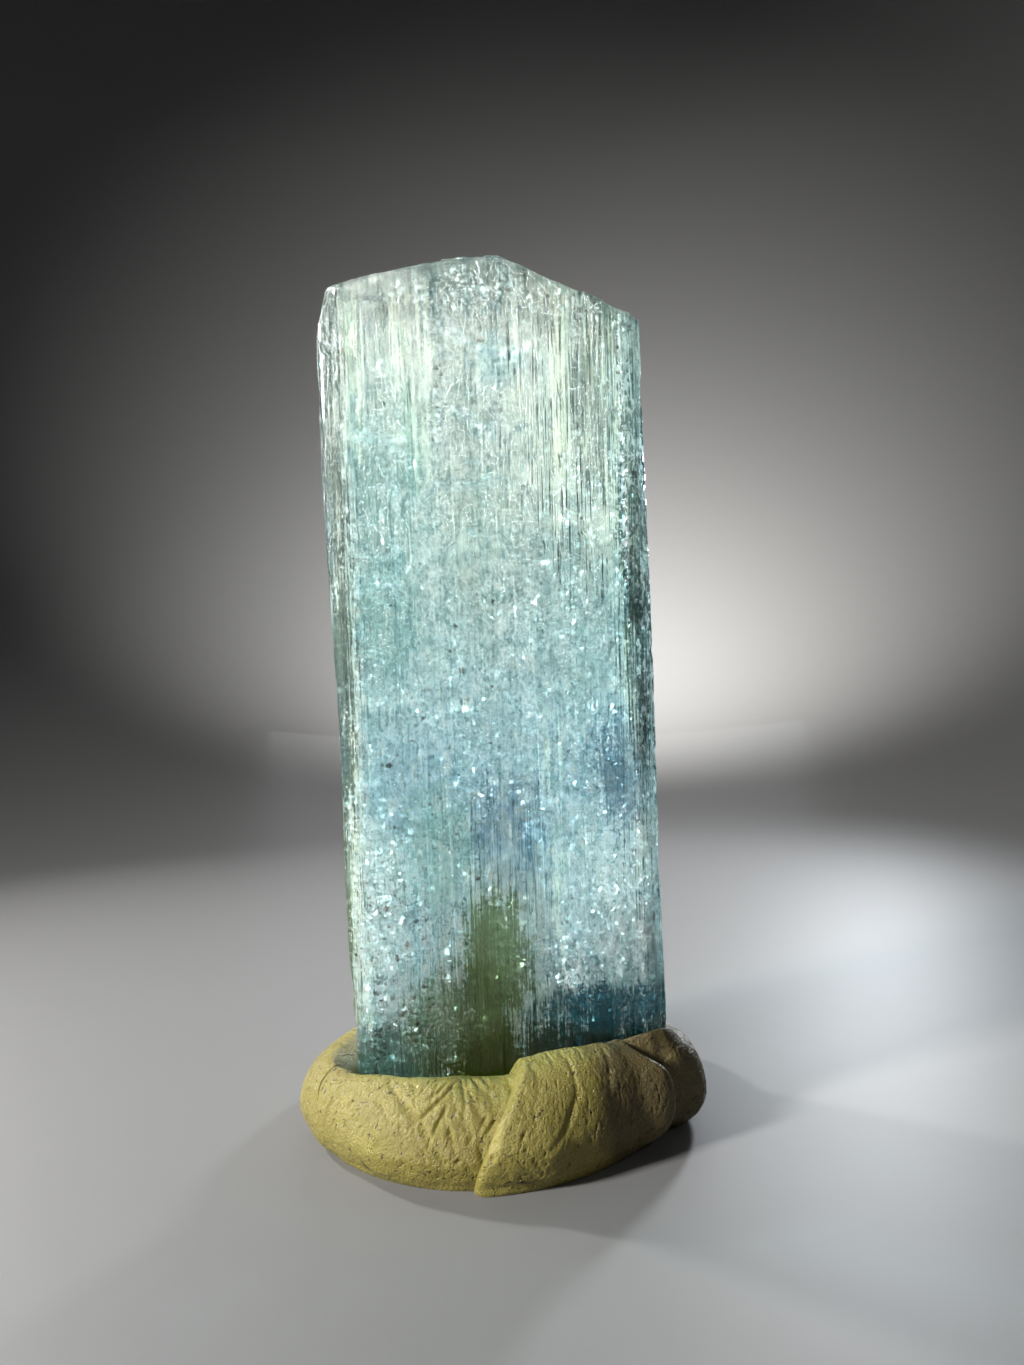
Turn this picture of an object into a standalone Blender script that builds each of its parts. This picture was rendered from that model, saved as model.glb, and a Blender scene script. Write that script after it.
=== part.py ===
"""An aquamarine crystal that stands in a rolled ring of mounting putty.

The crystal is one beryl prism: twelve prism faces of unequal width that have grown in
steps, a worn and terraced top, and a broken foot. The ring is one roll of putty that is
wrapped round the foot. Its loose end lies over its beginning at the front right.
X is to the right and -Y to the front. The floor is at Z = 0.
"""

import bmesh
import bpy
import numpy as np
from mathutils import Matrix, Vector
from mathutils.geometry import delaunay_2d_cdt

MM = 0.001

# Crystal: its height, where its axis meets the floor, and how it leans and widens
CRYSTAL_HEIGHT = 43.3 * MM
FOOT_HEIGHT = 0.25 * MM
FOOT_CENTRE = (-0.04 * MM, 0.15 * MM)
LEAN_DEGREES = 1.30
TOP_GROWTH = 1.016

# Each prism face: the direction it faces in degrees, and its distance from the axis
PRISM_FACES = (
    (-90, 5.10 * MM),
    (-60, 7.83 * MM),
    (-30, 8.86 * MM),
    (0, 8.03 * MM),
    (30, 6.15 * MM),
    (60, 6.35 * MM),
    (90, 5.10 * MM),
    (120, 6.05 * MM),
    (150, 5.62 * MM),
    (180, 7.93 * MM),
    (210, 8.945 * MM),
    (240, 7.80 * MM),
)

# The top rim as seen from the front: across the crystal, and drop below its peak
TOP_PROFILE = (
    (-8.10 * MM, 3.60 * MM),
    (-7.62 * MM, 3.20 * MM),
    (-7.20 * MM, 1.28 * MM),
    (-5.89 * MM, 0.82 * MM),
    (-4.53 * MM, 0.45 * MM),
    (-3.08 * MM, 0.33 * MM),
    (-1.63 * MM, 0.16 * MM),
    (-0.18 * MM, 0.00 * MM),
    (1.26 * MM, 0.15 * MM),
    (2.21 * MM, 0.58 * MM),
    (3.40 * MM, 1.35 * MM),
    (4.12 * MM, 1.71 * MM),
    (5.55 * MM, 2.26 * MM),
    (6.99 * MM, 2.94 * MM),
    (8.10 * MM, 3.42 * MM),
)
TOP_FALL_TO_BACK = 0.06
TERRACE_HEIGHT = 0.36 * MM
TERRACE_STARTS = 1.6 * MM

# Waves whose sum lays out the terraces: direction in degrees, length, start and share
TERRACE_WAVES = (
    (20.0, 9.0 * MM, 0.6, 0.75),
    (-40.0, 6.2 * MM, 2.1, 0.60),
    (75.0, 4.3 * MM, 4.0, 0.45),
    (-80.0, 2.9 * MM, 1.2, 0.25),
    (5.0, 2.1 * MM, 3.3, 0.18),
)

# Growth steps along the prism: their width, the rise between them, and how deep they go
STEP_WIDTHS = (0.40 * MM, 1.20 * MM)
STEP_RISER = 0.06 * MM
STEP_DEPTH = 0.24 * MM
PRISM_LEVELS = 11

# Spacing of the points on the worn top and the broken foot
TOP_SPACING = 0.62 * MM
FOOT_SPACING = 1.60 * MM
FOOT_RELIEF = 0.40 * MM

# Putty ring, by direction in degrees: outer radius, height of the crest, height at the
# crystal's wall, and how far the foot's edge is tucked in below the outside
PUTTY_GAP = 0.32 * MM
PUTTY_ROUTE = (
    (-180, 11.00 * MM, 3.80 * MM, 2.90 * MM, 1.00 * MM),
    (-165, 11.60 * MM, 3.85 * MM, 3.00 * MM, 0.95 * MM),
    (-150, 11.65 * MM, 3.95 * MM, 3.10 * MM, 0.85 * MM),
    (-135, 11.45 * MM, 4.00 * MM, 3.20 * MM, 0.75 * MM),
    (-120, 11.15 * MM, 4.05 * MM, 3.35 * MM, 0.65 * MM),
    (-105, 10.75 * MM, 4.10 * MM, 3.40 * MM, 0.60 * MM),
    (-90, 10.20 * MM, 4.20 * MM, 3.50 * MM, 0.65 * MM),
    (-70, 9.50 * MM, 4.30 * MM, 3.80 * MM, 0.75 * MM),
    (-52, 9.25 * MM, 4.35 * MM, 4.25 * MM, 1.00 * MM),
    (-43, 9.70 * MM, 4.50 * MM, 5.00 * MM, 1.40 * MM),
    (-35, 9.72 * MM, 4.60 * MM, 5.35 * MM, 1.60 * MM),
    (-24, 10.64 * MM, 4.45 * MM, 4.90 * MM, 1.80 * MM),
    (-8, 10.05 * MM, 4.05 * MM, 3.80 * MM, 1.50 * MM),
    (12, 9.55 * MM, 3.85 * MM, 3.30 * MM, 1.10 * MM),
    (36, 9.75 * MM, 3.90 * MM, 3.20 * MM, 1.00 * MM),
    (62, 9.70 * MM, 3.85 * MM, 3.10 * MM, 1.00 * MM),
    (90, 9.50 * MM, 3.80 * MM, 3.00 * MM, 0.95 * MM),
    (118, 9.70 * MM, 3.80 * MM, 3.00 * MM, 1.00 * MM),
    (144, 9.85 * MM, 3.80 * MM, 2.90 * MM, 1.00 * MM),
    (164, 10.20 * MM, 3.80 * MM, 2.90 * MM, 1.00 * MM),
)

# The loose end of the roll: its edges' directions at the floor, halfway up and at the crest
FLAP_START = (-99.8, -94.3, -86.8)
FLAP_END = (-49.5, -37.5, -44.0)
FLAP_EDGES = (2.6, 3.4)
FLAP_LIFT = 0.95 * MM
FLAP_BULGE = 0.62 * MM
SHEAR_REACH = 24.0

# The hollow beside the loose end: direction, share of the width, their reaches, and depth
HOLLOW = (-38.5, 0.42, 4.8, 0.22, 1.10 * MM)

# Creases of the bent roll: direction and height of both ends, then depth and width
CREASES = (
    ((-137.0, 3.95 * MM), (-117.0, 1.90 * MM), 0.30 * MM, 0.34 * MM),
    ((-112.0, 3.90 * MM), (-124.0, 2.50 * MM), 0.22 * MM, 0.34 * MM),
    ((-104.0, 3.90 * MM), (-117.0, 2.10 * MM), 0.22 * MM, 0.34 * MM),
    ((-62.0, 4.90 * MM), (-79.0, 1.60 * MM), 0.28 * MM, 0.40 * MM),
)

AROUND_PUTTY = 148
FLAT_SHARE = 4
WALL_SHARE = 2
CURVE_SHARE = 17
PUTTY_LUMPS = 0.10 * MM


def smooth_step(value):
    """0 below 0, 1 above 1 and a smooth rise between them."""
    share = min(max(value, 0.0), 1.0)
    return share * share * (3.0 - 2.0 * share)


def waves_at(x, y, waves):
    """The sum of some plane waves at a place."""
    total = 0.0
    for angle, length, start, share in waves:
        across = x * np.cos(np.radians(angle)) + y * np.sin(np.radians(angle))
        total += share * np.sin(2.0 * np.pi * across / length + start)
    return total


def between(points, share):
    """A place on the smooth curve through points: 0 is the first point and 1 the last."""
    last = len(points) - 1
    index = min(int(share * last), last - 1)
    t = share * last - index
    near = [np.array(points[min(max(index + step, 0), last)]) for step in (-1, 0, 1, 2)]
    return 0.5 * (
        2.0 * near[1]
        + (near[2] - near[0]) * t
        + (2.0 * near[0] - 5.0 * near[1] + 4.0 * near[2] - near[3]) * t**2
        + (3.0 * near[1] - near[0] - 3.0 * near[2] + near[3]) * t**3
    )


def round_route(degrees):
    """The four lengths of PUTTY_ROUTE at a direction, smoothly joined all the way round."""
    turned = (degrees + 180.0) % 360.0 - 180.0
    count = len(PUTTY_ROUTE)
    after = next((i for i, row in enumerate(PUTTY_ROUTE) if row[0] > turned), count)
    near = [PUTTY_ROUTE[(after + step) % count] for step in (-2, -1, 0, 1)]
    start = PUTTY_ROUTE[after - 1][0]
    end = PUTTY_ROUTE[after][0] if after < count else PUTTY_ROUTE[0][0] + 360.0
    lengths = [row[1:] for row in near]
    return between(lengths, (1.0 + (turned - start) / (end - start)) / 3.0)


def direction(degrees):
    return np.array([np.cos(np.radians(degrees)), np.sin(np.radians(degrees))])


def prism_corners():
    """The corners of the cross-section: corner i is where faces i - 1 and i meet."""
    corners = []
    for index, (angle, distance) in enumerate(PRISM_FACES):
        before_angle, before_distance = PRISM_FACES[index - 1]
        rows = np.stack([direction(before_angle), direction(angle)])
        corners.append(np.linalg.solve(rows, [before_distance, distance]))
    return corners


def step_bounds(length, chance):
    """Where one face's growth steps begin and end, along the face."""
    bounds = [0.0]
    while length - bounds[-1] > STEP_WIDTHS[1]:
        bounds.append(bounds[-1] + chance.uniform(*STEP_WIDTHS))
    if length - bounds[-1] > STEP_WIDTHS[0]:
        bounds.append(length)
    bounds[-1] = length
    return bounds


def outline_points():
    """Points round the cross-section: place, outward direction and the growth step they lie on.

    A corner point has the outward directions and the steps of both its faces.
    """
    chance = np.random.default_rng(11)
    corners = prism_corners()
    faces = []
    step = 0
    for index, (angle, _) in enumerate(PRISM_FACES):
        start = corners[index]
        end = corners[(index + 1) % len(corners)]
        length = float(np.linalg.norm(end - start))
        bounds = step_bounds(length, chance)
        steps = list(range(step, step + len(bounds) - 1))
        step += len(steps)
        faces.append((start, (end - start) / length, direction(angle), bounds, steps))
    points = []
    for index, (start, along, outward, bounds, steps) in enumerate(faces):
        before = faces[index - 1]
        points.append((start, ((before[2], before[4][-1]), (outward, steps[0]))))
        for bound, low, high in zip(bounds[1:-1], steps, steps[1:]):
            points.append((start + along * (bound - STEP_RISER / 2), ((outward, low),)))
            points.append((start + along * (bound + STEP_RISER / 2), ((outward, high),)))
    return points


def step_depth(step, height):
    """How far a growth step lies below its face, changing slowly along the crystal."""
    chance = np.random.default_rng(100 + step)
    base, swing, length, start = chance.uniform((0.0, 0.1, 16.0, 0.0), (0.45, 0.4, 45.0, 6.3))
    alternate = 0.5 if step % 2 else 0.0
    wave = np.sin(2.0 * np.pi * height / (length * MM) + start)
    return STEP_DEPTH * min(max(base + alternate + swing * wave, 0.0), 1.0)


def top_height(x, y):
    """Height of the worn top: the rim's profile, falling to the back in flat terraces."""
    places = [point[0] for point in TOP_PROFILE]
    drops = [point[1] for point in TOP_PROFILE]
    behind = y + PRISM_FACES[0][1]
    rise = waves_at(x, y, TERRACE_WAVES)
    terrace = np.floor(rise) + smooth_step((rise - np.floor(rise) - 0.3) / 0.4)
    share = smooth_step(behind / TERRACE_STARTS)
    rim = CRYSTAL_HEIGHT - float(np.interp(x, places, drops))
    return rim - TOP_FALL_TO_BACK * behind + TERRACE_HEIGHT * terrace * share


def foot_height(x, y):
    """Height of the broken foot above the floor, before the crystal leans."""
    return FOOT_HEIGHT + FOOT_RELIEF * (0.5 + waves_at(x, y, TERRACE_WAVES) / 6.2)


def ring_of(mesh, places):
    """A closed loop of new vertices."""
    return [mesh.verts.new(place) for place in places]


def join_rings(mesh, lower, upper):
    """Faces between two loops of as many vertices."""
    for index in range(len(lower)):
        after = (index + 1) % len(lower)
        mesh.faces.new((lower[index], lower[after], upper[after], upper[index]))


def close_end(mesh, outer, spacing, height_at, looks_up):
    """Fills a loop with small triangles between evenly spaced points, at a given height."""
    rim = [Vector((vertex.co.x, vertex.co.y)) for vertex in outer]
    reach = max(place.length for place in rim)
    rows = int(2.0 * reach / (spacing * np.sqrt(0.75))) + 1
    inside = []
    for row in range(rows):
        y = -reach + row * spacing * np.sqrt(0.75)
        for column in range(int(2.0 * reach / spacing) + 1):
            x = -reach + (column + 0.5 * (row % 2)) * spacing
            place = Vector((x, y))
            if is_inside(place, 0.40 * spacing + STEP_DEPTH):
                inside.append(place)
    loop = [(index, (index + 1) % len(rim)) for index in range(len(rim))]
    flat, _, triangles, *_ = delaunay_2d_cdt(rim + inside, loop, [], 1, 1e-9)
    vertices = list(outer)
    vertices += [mesh.verts.new((x, y, height_at(x, y))) for x, y in flat[len(rim) :]]
    for corners in triangles:
        order = corners if looks_up else reversed(corners)
        mesh.faces.new([vertices[corner] for corner in order])


def is_inside(place, margin):
    """Whether a place in the cross-section lies inside all its faces, away from its edge."""
    return all(direction(angle) @ place < distance - margin for angle, distance in PRISM_FACES)


def material_of(name, colour, roughness, transmission=0.0, ior=1.5):
    material = bpy.data.materials.new(name)
    material.use_nodes = True
    shader = material.node_tree.nodes["Principled BSDF"]
    shader.inputs["Base Color"].default_value = (*colour, 1.0)
    shader.inputs["Roughness"].default_value = roughness
    shader.inputs["Metallic"].default_value = 0.0
    shader.inputs["Transmission Weight"].default_value = transmission
    shader.inputs["IOR"].default_value = ior
    return material


def object_of(name, mesh, material, smooth_below):
    """Turns a finished bmesh into a named object with its material."""
    bmesh.ops.triangulate(mesh, faces=[face for face in mesh.faces if len(face.verts) > 3])
    bmesh.ops.recalc_face_normals(mesh, faces=mesh.faces)
    data = bpy.data.meshes.new(name)
    mesh.to_mesh(data)
    mesh.free()
    data.materials.append(material)
    data.shade_smooth()
    data.set_sharp_from_angle(angle=np.radians(smooth_below))
    made = bpy.data.objects.new(name, data)
    bpy.context.scene.collection.objects.link(made)
    return made


def build_crystal():
    """The prism on its own axis, then leant and set at its place."""
    outline = outline_points()
    mesh = bmesh.new()
    rings = []
    for level in range(PRISM_LEVELS + 1):
        share = level / PRISM_LEVELS
        places = []
        for point, lies_on in outline:
            x, y = point * (1.0 + (TOP_GROWTH - 1.0) * share)
            for outward, step in lies_on:
                sunk = step_depth(step, share * CRYSTAL_HEIGHT) * (0.6 if len(lies_on) > 1 else 1.0)
                x, y = np.array([x, y]) - outward * sunk
            low = foot_height(x, y)
            places.append((x, y, low + (top_height(x, y) - low) * share))
        rings.append(ring_of(mesh, places))
    for lower, upper in zip(rings, rings[1:]):
        join_rings(mesh, lower, upper)
    close_end(mesh, rings[-1], TOP_SPACING, top_height, looks_up=True)
    close_end(mesh, rings[0], FOOT_SPACING, foot_height, looks_up=False)
    mesh.transform(Matrix.Rotation(-np.radians(LEAN_DEGREES), 4, "Y"))
    mesh.transform(Matrix.Translation((*FOOT_CENTRE, 0.0)))
    beryl = material_of("aquamarine", (0.56, 0.80, 0.80), 0.12, transmission=0.9, ior=1.577)
    return object_of("aquamarine_crystal", mesh, beryl, smooth_below=8.0)


def wall_distance(degrees):
    """Distance from the middle to the crystal's wall and the putty's gap, in one direction."""
    reaches = []
    for angle, distance in PRISM_FACES:
        facing = float(direction(angle) @ direction(degrees))
        if facing > 1e-6:
            offset = float(direction(angle) @ FOOT_CENTRE)
            reaches.append((distance + PUTTY_GAP + offset) / facing)
    return min(reaches)


def section_places(degrees):
    """Points across the roll: distance out from the crystal's wall, and height."""
    radius, crest, contact, tuck = round_route(degrees)
    wide = radius - wall_distance(degrees)
    curve = (
        (0.0, contact - 0.50 * MM),
        (0.07 * wide, contact),
        (0.42 * wide, crest),
        (0.80 * wide, 0.80 * crest),
        (wide, 0.44 * crest),
        (wide - 0.22 * tuck, 0.17 * crest),
        (wide - tuck, 0.0),
    )
    places = [between(curve, part / CURVE_SHARE) for part in range(CURVE_SHARE + 1)]
    under = places[-1][0]
    places += [(under * (1.0 - part / FLAT_SHARE), 0.0) for part in range(1, FLAT_SHARE + 1)]
    top = places[0][1]
    places += [(0.0, top * part / (WALL_SHARE + 1)) for part in range(1, WALL_SHARE + 1)]
    return places


def edge_line(ends, up):
    """Direction of one edge of the loose end at a share of the height, on a smooth bow."""
    low, middle, high = ends
    return low + (4.0 * middle - 3.0 * low - high) * up + 2.0 * (low + high - 2.0 * middle) * up**2


def sheared(degrees, up):
    """Slants the sections near the loose end, so that its edges lie along them."""
    for ends in (FLAP_START, FLAP_END):
        middle = sum(ends) / 3.0
        near = max(0.0, 1.0 - abs(degrees - middle) / SHEAR_REACH)
        if near > 0.0:
            return degrees + smooth_step(near) * (edge_line(ends, up) - middle)
    return degrees


def flap_share(degrees, up):
    """1 on the loose end that lies over the ring and 0 off it."""
    rise = smooth_step((degrees - edge_line(FLAP_START, up)) / FLAP_EDGES[0])
    return rise * smooth_step((edge_line(FLAP_END, up) - degrees) / FLAP_EDGES[1])


def crease_depth(degrees, height):
    """Depth of the creases at a place on the outside of the roll."""
    deep = 0.0
    for start, end, depth, width in CREASES:
        scale = np.array([10.0 * MM * np.pi / 180.0, 1.0])
        first = np.array(start) * scale
        line = np.array(end) * scale - first
        place = np.array([degrees, height]) * scale - first
        share = min(max(float(place @ line) / float(line @ line), 0.0), 1.0)
        away = float(np.linalg.norm(place - share * line))
        deep = max(deep, depth * np.exp(-((away / width) ** 2)) * np.sin(np.pi * (0.1 + 0.8 * share)))
    return deep


def lump_height(degrees, up):
    """Low lumps that fingers left along the roll."""
    turn = np.radians(degrees)
    along = np.sin(9.0 * turn + 1.0) + 0.7 * np.sin(17.0 * turn + 4.0 * up) + 0.5 * np.sin(31.0 * turn)
    return PUTTY_LUMPS * along / 2.2


def build_putty():
    """The ring: one loop of points across the roll at each direction, joined all the way round."""
    mesh = bmesh.new()
    sections = []
    for step in range(AROUND_PUTTY):
        base = 360.0 * step / AROUND_PUTTY - 180.0
        crest = round_route(base)[1]
        places = []
        for index, (_, height) in enumerate(section_places(base)):
            up = min(height / crest, 1.0)
            degrees = sheared(base, up)
            out, height = section_places(degrees)[index]
            wide = float(round_route(degrees)[0]) - wall_distance(degrees)
            across = out / wide
            skin = smooth_step(across / 0.35) * smooth_step(up / 0.12)
            flap = flap_share(degrees, up)
            out += flap * FLAP_BULGE * smooth_step(across / 0.7)
            height *= 1.0 + flap * FLAP_LIFT / crest
            away = ((degrees - HOLLOW[0]) / HOLLOW[2]) ** 2 + ((across - HOLLOW[1]) / HOLLOW[3]) ** 2
            height -= HOLLOW[4] * np.exp(-away) * smooth_step(2.0 * up - 1.0)
            radius = wall_distance(degrees) + out
            sunk = skin * (lump_height(degrees, up) - crease_depth(degrees, height))
            out_share = min(max(across * 1.6 - 0.5, 0.0), 1.0)
            x, y = (radius + sunk * out_share) * direction(degrees)
            places.append((x, y, height + sunk * (1.0 - out_share)))
        sections.append(ring_of(mesh, places))
    for index, section in enumerate(sections):
        join_rings(mesh, section, sections[(index + 1) % len(sections)])
    putty = material_of("putty", (0.56, 0.50, 0.20), 0.62)
    return object_of("mounting_putty", mesh, putty, smooth_below=50.0)


def centre_on_floor(objects):
    """Moves everything so that the whole is centred on the Z axis."""
    places = np.array([vertex.co for made in objects for vertex in made.data.vertices])
    middle = (places.min(axis=0) + places.max(axis=0)) / 2.0
    for made in objects:
        made.data.transform(Matrix.Translation((-middle[0], -middle[1], 0.0)))


def clear_scene():
    for old in list(bpy.data.objects):
        bpy.data.objects.remove(old)


clear_scene()
centre_on_floor([build_crystal(), build_putty()])
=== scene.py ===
# An aquamarine crystal that stands in a rolled ring of mounting putty.
# Lengths here are in millimetres. Meshes are written in metres.

import bpy
import numpy as np
from mathutils import Matrix, Vector
from mathutils.geometry import delaunay_2d_cdt


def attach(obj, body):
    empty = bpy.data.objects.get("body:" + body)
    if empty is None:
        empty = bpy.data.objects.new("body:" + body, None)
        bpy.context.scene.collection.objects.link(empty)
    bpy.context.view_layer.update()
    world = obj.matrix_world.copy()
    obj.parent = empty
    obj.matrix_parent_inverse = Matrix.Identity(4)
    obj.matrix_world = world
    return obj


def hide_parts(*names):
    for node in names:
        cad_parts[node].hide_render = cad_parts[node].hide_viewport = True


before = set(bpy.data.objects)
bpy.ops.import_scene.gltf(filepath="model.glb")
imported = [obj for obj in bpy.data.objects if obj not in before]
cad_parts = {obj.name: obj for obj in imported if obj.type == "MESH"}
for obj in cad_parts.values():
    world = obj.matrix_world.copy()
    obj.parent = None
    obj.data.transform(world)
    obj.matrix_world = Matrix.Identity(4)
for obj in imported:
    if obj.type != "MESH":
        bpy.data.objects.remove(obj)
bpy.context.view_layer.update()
mm = 0.001
setDown = (0.602, 0.674)  # from the middle of the shapes below to the middle of the whole
print("frame loaded")


# Shared helpers


def smoothStep(share):
    # 0 below 0, 1 above 1 and a smooth rise between them
    share = np.clip(share, 0.0, 1.0)
    return share * share * (3.0 - 2.0 * share)


def latticeNoise(x, y, seed):
    # Smooth noise from -1 to 1: seeded heights on a square lattice, blended between the
    # four round each point.
    table = np.random.default_rng(seed).uniform(-1.0, 1.0, (512, 512))
    x, y = np.broadcast_arrays(np.asarray(x, float), np.asarray(y, float))
    column, row = np.floor(x).astype(int), np.floor(y).astype(int)
    across, along = smoothStep(x - column), smoothStep(y - row)
    after = column + 1
    low = table[column % 512, row % 512] * (1 - across) + table[after % 512, row % 512] * across
    high = table[column % 512, (row + 1) % 512] * (1 - across)
    high = high + table[after % 512, (row + 1) % 512] * across
    return low * (1 - along) + high * along


def fractalNoise(x, y, seed, layers=3):
    # Layers of lattice noise, each twice as fine and half as strong as the one before
    total = 0.0
    for layer in range(layers):
        total = total + latticeNoise(x * 2.0**layer, y * 2.0**layer, seed + layer) * 0.5**layer
    return total


def curveBetween(near, t):
    # The Catmull-Rom curve between the middle two of four points
    return 0.5 * (
        2.0 * near[1]
        + (near[2] - near[0]) * t
        + (2.0 * near[0] - 5.0 * near[1] + 4.0 * near[2] - near[3]) * t**2
        + (3.0 * near[1] - near[0] - 3.0 * near[2] + near[3]) * t**3
    )


def curveThrough(points, share):
    # A smooth curve through points (first axis), at shares from 0 to 1
    last = len(points) - 1
    index = np.minimum((share * last).astype(int), last - 1)
    near = [points[np.clip(index + step, 0, last)] for step in (-1, 0, 1, 2)]
    return curveBetween(near, (share * last - index)[..., None])


def unit(degrees):
    # The direction at an angle from +X, in the floor's plane
    return np.stack([np.cos(np.radians(degrees)), np.sin(np.radians(degrees))], axis=-1)


def gridFaces(rows, columns, closed):
    # Four-sided faces between neighbouring rows of a grid, joined round if it is closed
    row = np.arange(rows - 1)[:, None] * columns
    column = np.arange(columns if closed else columns - 1)[None, :]
    after = (column + 1) % columns
    corners = [row + column, row + after, row + columns + after, row + columns + column]
    return np.stack(np.broadcast_arrays(*corners), axis=-1).reshape(-1, 4)


def addPiece(name, points, faces, material, sharpAbove=None):
    # A mesh of points in millimetres, set down in its place, that rides on the part
    placed = (np.asarray(points, float) + np.array([*setDown, 0.0])) * mm
    mesh = bpy.data.meshes.new(name)
    mesh.from_pydata(placed.tolist(), [], faces)
    mesh.validate()
    mesh.materials.append(material)
    if sharpAbove is None:
        mesh.shade_flat()
    else:
        mesh.shade_smooth()
        mesh.set_sharp_from_angle(angle=np.radians(sharpAbove))
    piece = bpy.data.objects.new(name, mesh)
    bpy.context.scene.collection.objects.link(piece)
    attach(piece, "root")
    return piece


def addNode(tree, kind, values=None, **fields):
    # A shader node: fields are its own settings, and values are socket numbers or links
    node = tree.nodes.new(kind)
    for field, value in fields.items():
        setattr(node, field, value)
    for socket, value in (values or {}).items():
        if isinstance(value, bpy.types.NodeSocket):
            tree.links.new(value, node.inputs[socket])
        else:
            node.inputs[socket].default_value = value
    return node


def addRamp(tree, factor, stops):
    # A colour ramp of (place, colour) stops
    node = addNode(tree, "ShaderNodeValToRGB", {0: factor})
    elements = node.color_ramp.elements
    while len(elements) < len(stops):
        elements.new(0.5)
    for element, (place, colour) in zip(elements, stops):
        element.position = place
        element.color = (*colour, 1.0)
    return node.outputs[0]


def addMath(tree, operation, first, second, third=0.0):
    values = {0: first, 1: second, 2: third}
    return addNode(tree, "ShaderNodeMath", values, operation=operation).outputs[0]


def addMix(tree, factor, first, second):
    values = {0: factor, 6: first, 7: second}
    return addNode(tree, "ShaderNodeMix", values, data_type="RGBA").outputs[2]


def addRampValue(tree, value, low, high):
    # 0 where value is at low and 1 where it is at high, with nothing beyond
    values = {0: value, 1: low, 2: high, 3: 0.0, 4: 1.0}
    return addNode(tree, "ShaderNodeMapRange", values, interpolation_type="SMOOTHSTEP").outputs[0]


def patchMask(tree, place, middle, reach, ragged):
    # 1 in the middle of an ellipsoid and 0 outside it. Its edge moves in and out with the
    # ragged noise.
    offset = addNode(tree, "ShaderNodeVectorMath", {0: place, 1: middle}, operation="SUBTRACT").outputs[0]
    scaled = addNode(tree, "ShaderNodeVectorMath", {0: offset, 1: reach}, operation="DIVIDE").outputs[0]
    away = addNode(tree, "ShaderNodeVectorMath", {0: scaled}, operation="LENGTH").outputs["Value"]
    return addRampValue(tree, addMath(tree, "ADD", away, ragged), 1.0, 0.70)


def newMaterial(name):
    # A new material, its tree and its Principled shader
    material = bpy.data.materials.new(name)
    material.use_nodes = True
    tree = material.node_tree
    tree.nodes.clear()
    output = tree.nodes.new("ShaderNodeOutputMaterial")
    shader = tree.nodes.new("ShaderNodeBsdfPrincipled")
    tree.links.new(shader.outputs[0], output.inputs["Surface"])
    return material, tree, shader


def placeIn(tree, scale):
    # The place on the piece in millimetres, stretched by scale
    coords = addNode(tree, "ShaderNodeTexCoord")
    stretched = [1000.0 * part for part in scale]
    values = {"Vector": coords.outputs["Object"], "Scale": stretched}
    return addNode(tree, "ShaderNodeMapping", values).outputs[0]


def addNoise(tree, place, scale=1.0, detail=3.0, roughness=0.5, distortion=0.0):
    values = {"Vector": place, "Scale": scale, "Detail": detail}
    values.update({"Roughness": roughness, "Distortion": distortion})
    return addNode(tree, "ShaderNodeTexNoise", values).outputs[0]


# The crystal's shape

crystal = {
    "height": 43.42,
    "foot": 0.25,
    "axis": (-0.04, 0.15),  # where its axis meets the floor
    "lean": 1.30,  # degrees to the left
    "growth": 1.016,  # how much wider the top is than the foot
    # each prism face: direction it faces, distance from the axis
    "faces": (
        (-90, 5.10), (-60, 7.83), (-30, 8.86), (0, 8.03), (30, 6.15), (60, 6.35),
        (90, 5.10), (120, 6.05), (150, 5.62), (180, 7.93), (210, 8.945), (240, 7.80),
    ),
    # the top rim seen from the front: across, drop below the peak
    "topRim": (
        (-8.10, 3.30), (-7.62, 2.60), (-7.20, 1.20), (-5.89, 0.81), (-4.53, 0.57),
        (-3.08, 0.37), (-1.63, 0.08), (-0.18, 0.00), (1.26, 0.05), (2.21, 0.52),
        (3.40, 1.17), (4.12, 1.45), (5.55, 2.10), (6.99, 2.86), (8.10, 2.94),
    ),
    "fallToBack": 0.06,
    "terraceHeight": 0.36,
    "terraceStarts": 1.6,
    # plane waves that lay out the terraces: direction, length, start, share
    "terraceWaves": (
        (20.0, 9.0, 0.6, 0.75), (-40.0, 6.2, 2.1, 0.60), (75.0, 4.3, 4.0, 0.45),
        (-80.0, 2.9, 1.2, 0.25), (5.0, 2.1, 3.3, 0.18),
    ),
    "footRelief": 0.40,
    "stepWidths": (0.40, 1.20),
    "stepRiser": 0.06,
    "stepDepth": 0.24,
    "fineWidths": (0.07, 0.30),
    "fineDepth": 0.045,
    "columnSpacing": 0.105,
    "rows": 118,
    "topSpacing": 0.17,
}


def prismCorners():
    # Corner i is where the lines of faces i - 1 and i cross
    angles, distances = np.array(crystal["faces"]).T
    normals = unit(angles)
    pairs = np.stack([np.roll(normals, 1, axis=0), normals], axis=1)
    reaches = np.stack([np.roll(distances, 1), distances], axis=1)
    return np.linalg.solve(pairs, reaches[..., None])[..., 0]


def stepBounds(length, chance):
    # Where one face's growth steps begin and end, along the face
    narrow, wide = crystal["stepWidths"]
    bounds = [0.0]
    while length - bounds[-1] > wide:
        bounds.append(bounds[-1] + chance.uniform(narrow, wide))
    if length - bounds[-1] > narrow:
        bounds.append(length)
    bounds[-1] = length
    return bounds


corners = prismCorners()
edges = np.linalg.norm(np.roll(corners, -1, axis=0) - corners, axis=1)
cornerAt = np.concatenate([[0.0], np.cumsum(edges)])
perimeter = cornerAt[-1]
stepChance = np.random.default_rng(11)
stepAt = [start + bound for start, length in zip(cornerAt, edges)
          for bound in stepBounds(length, stepChance)[:-1]]
stepAt = np.array(stepAt)


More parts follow.
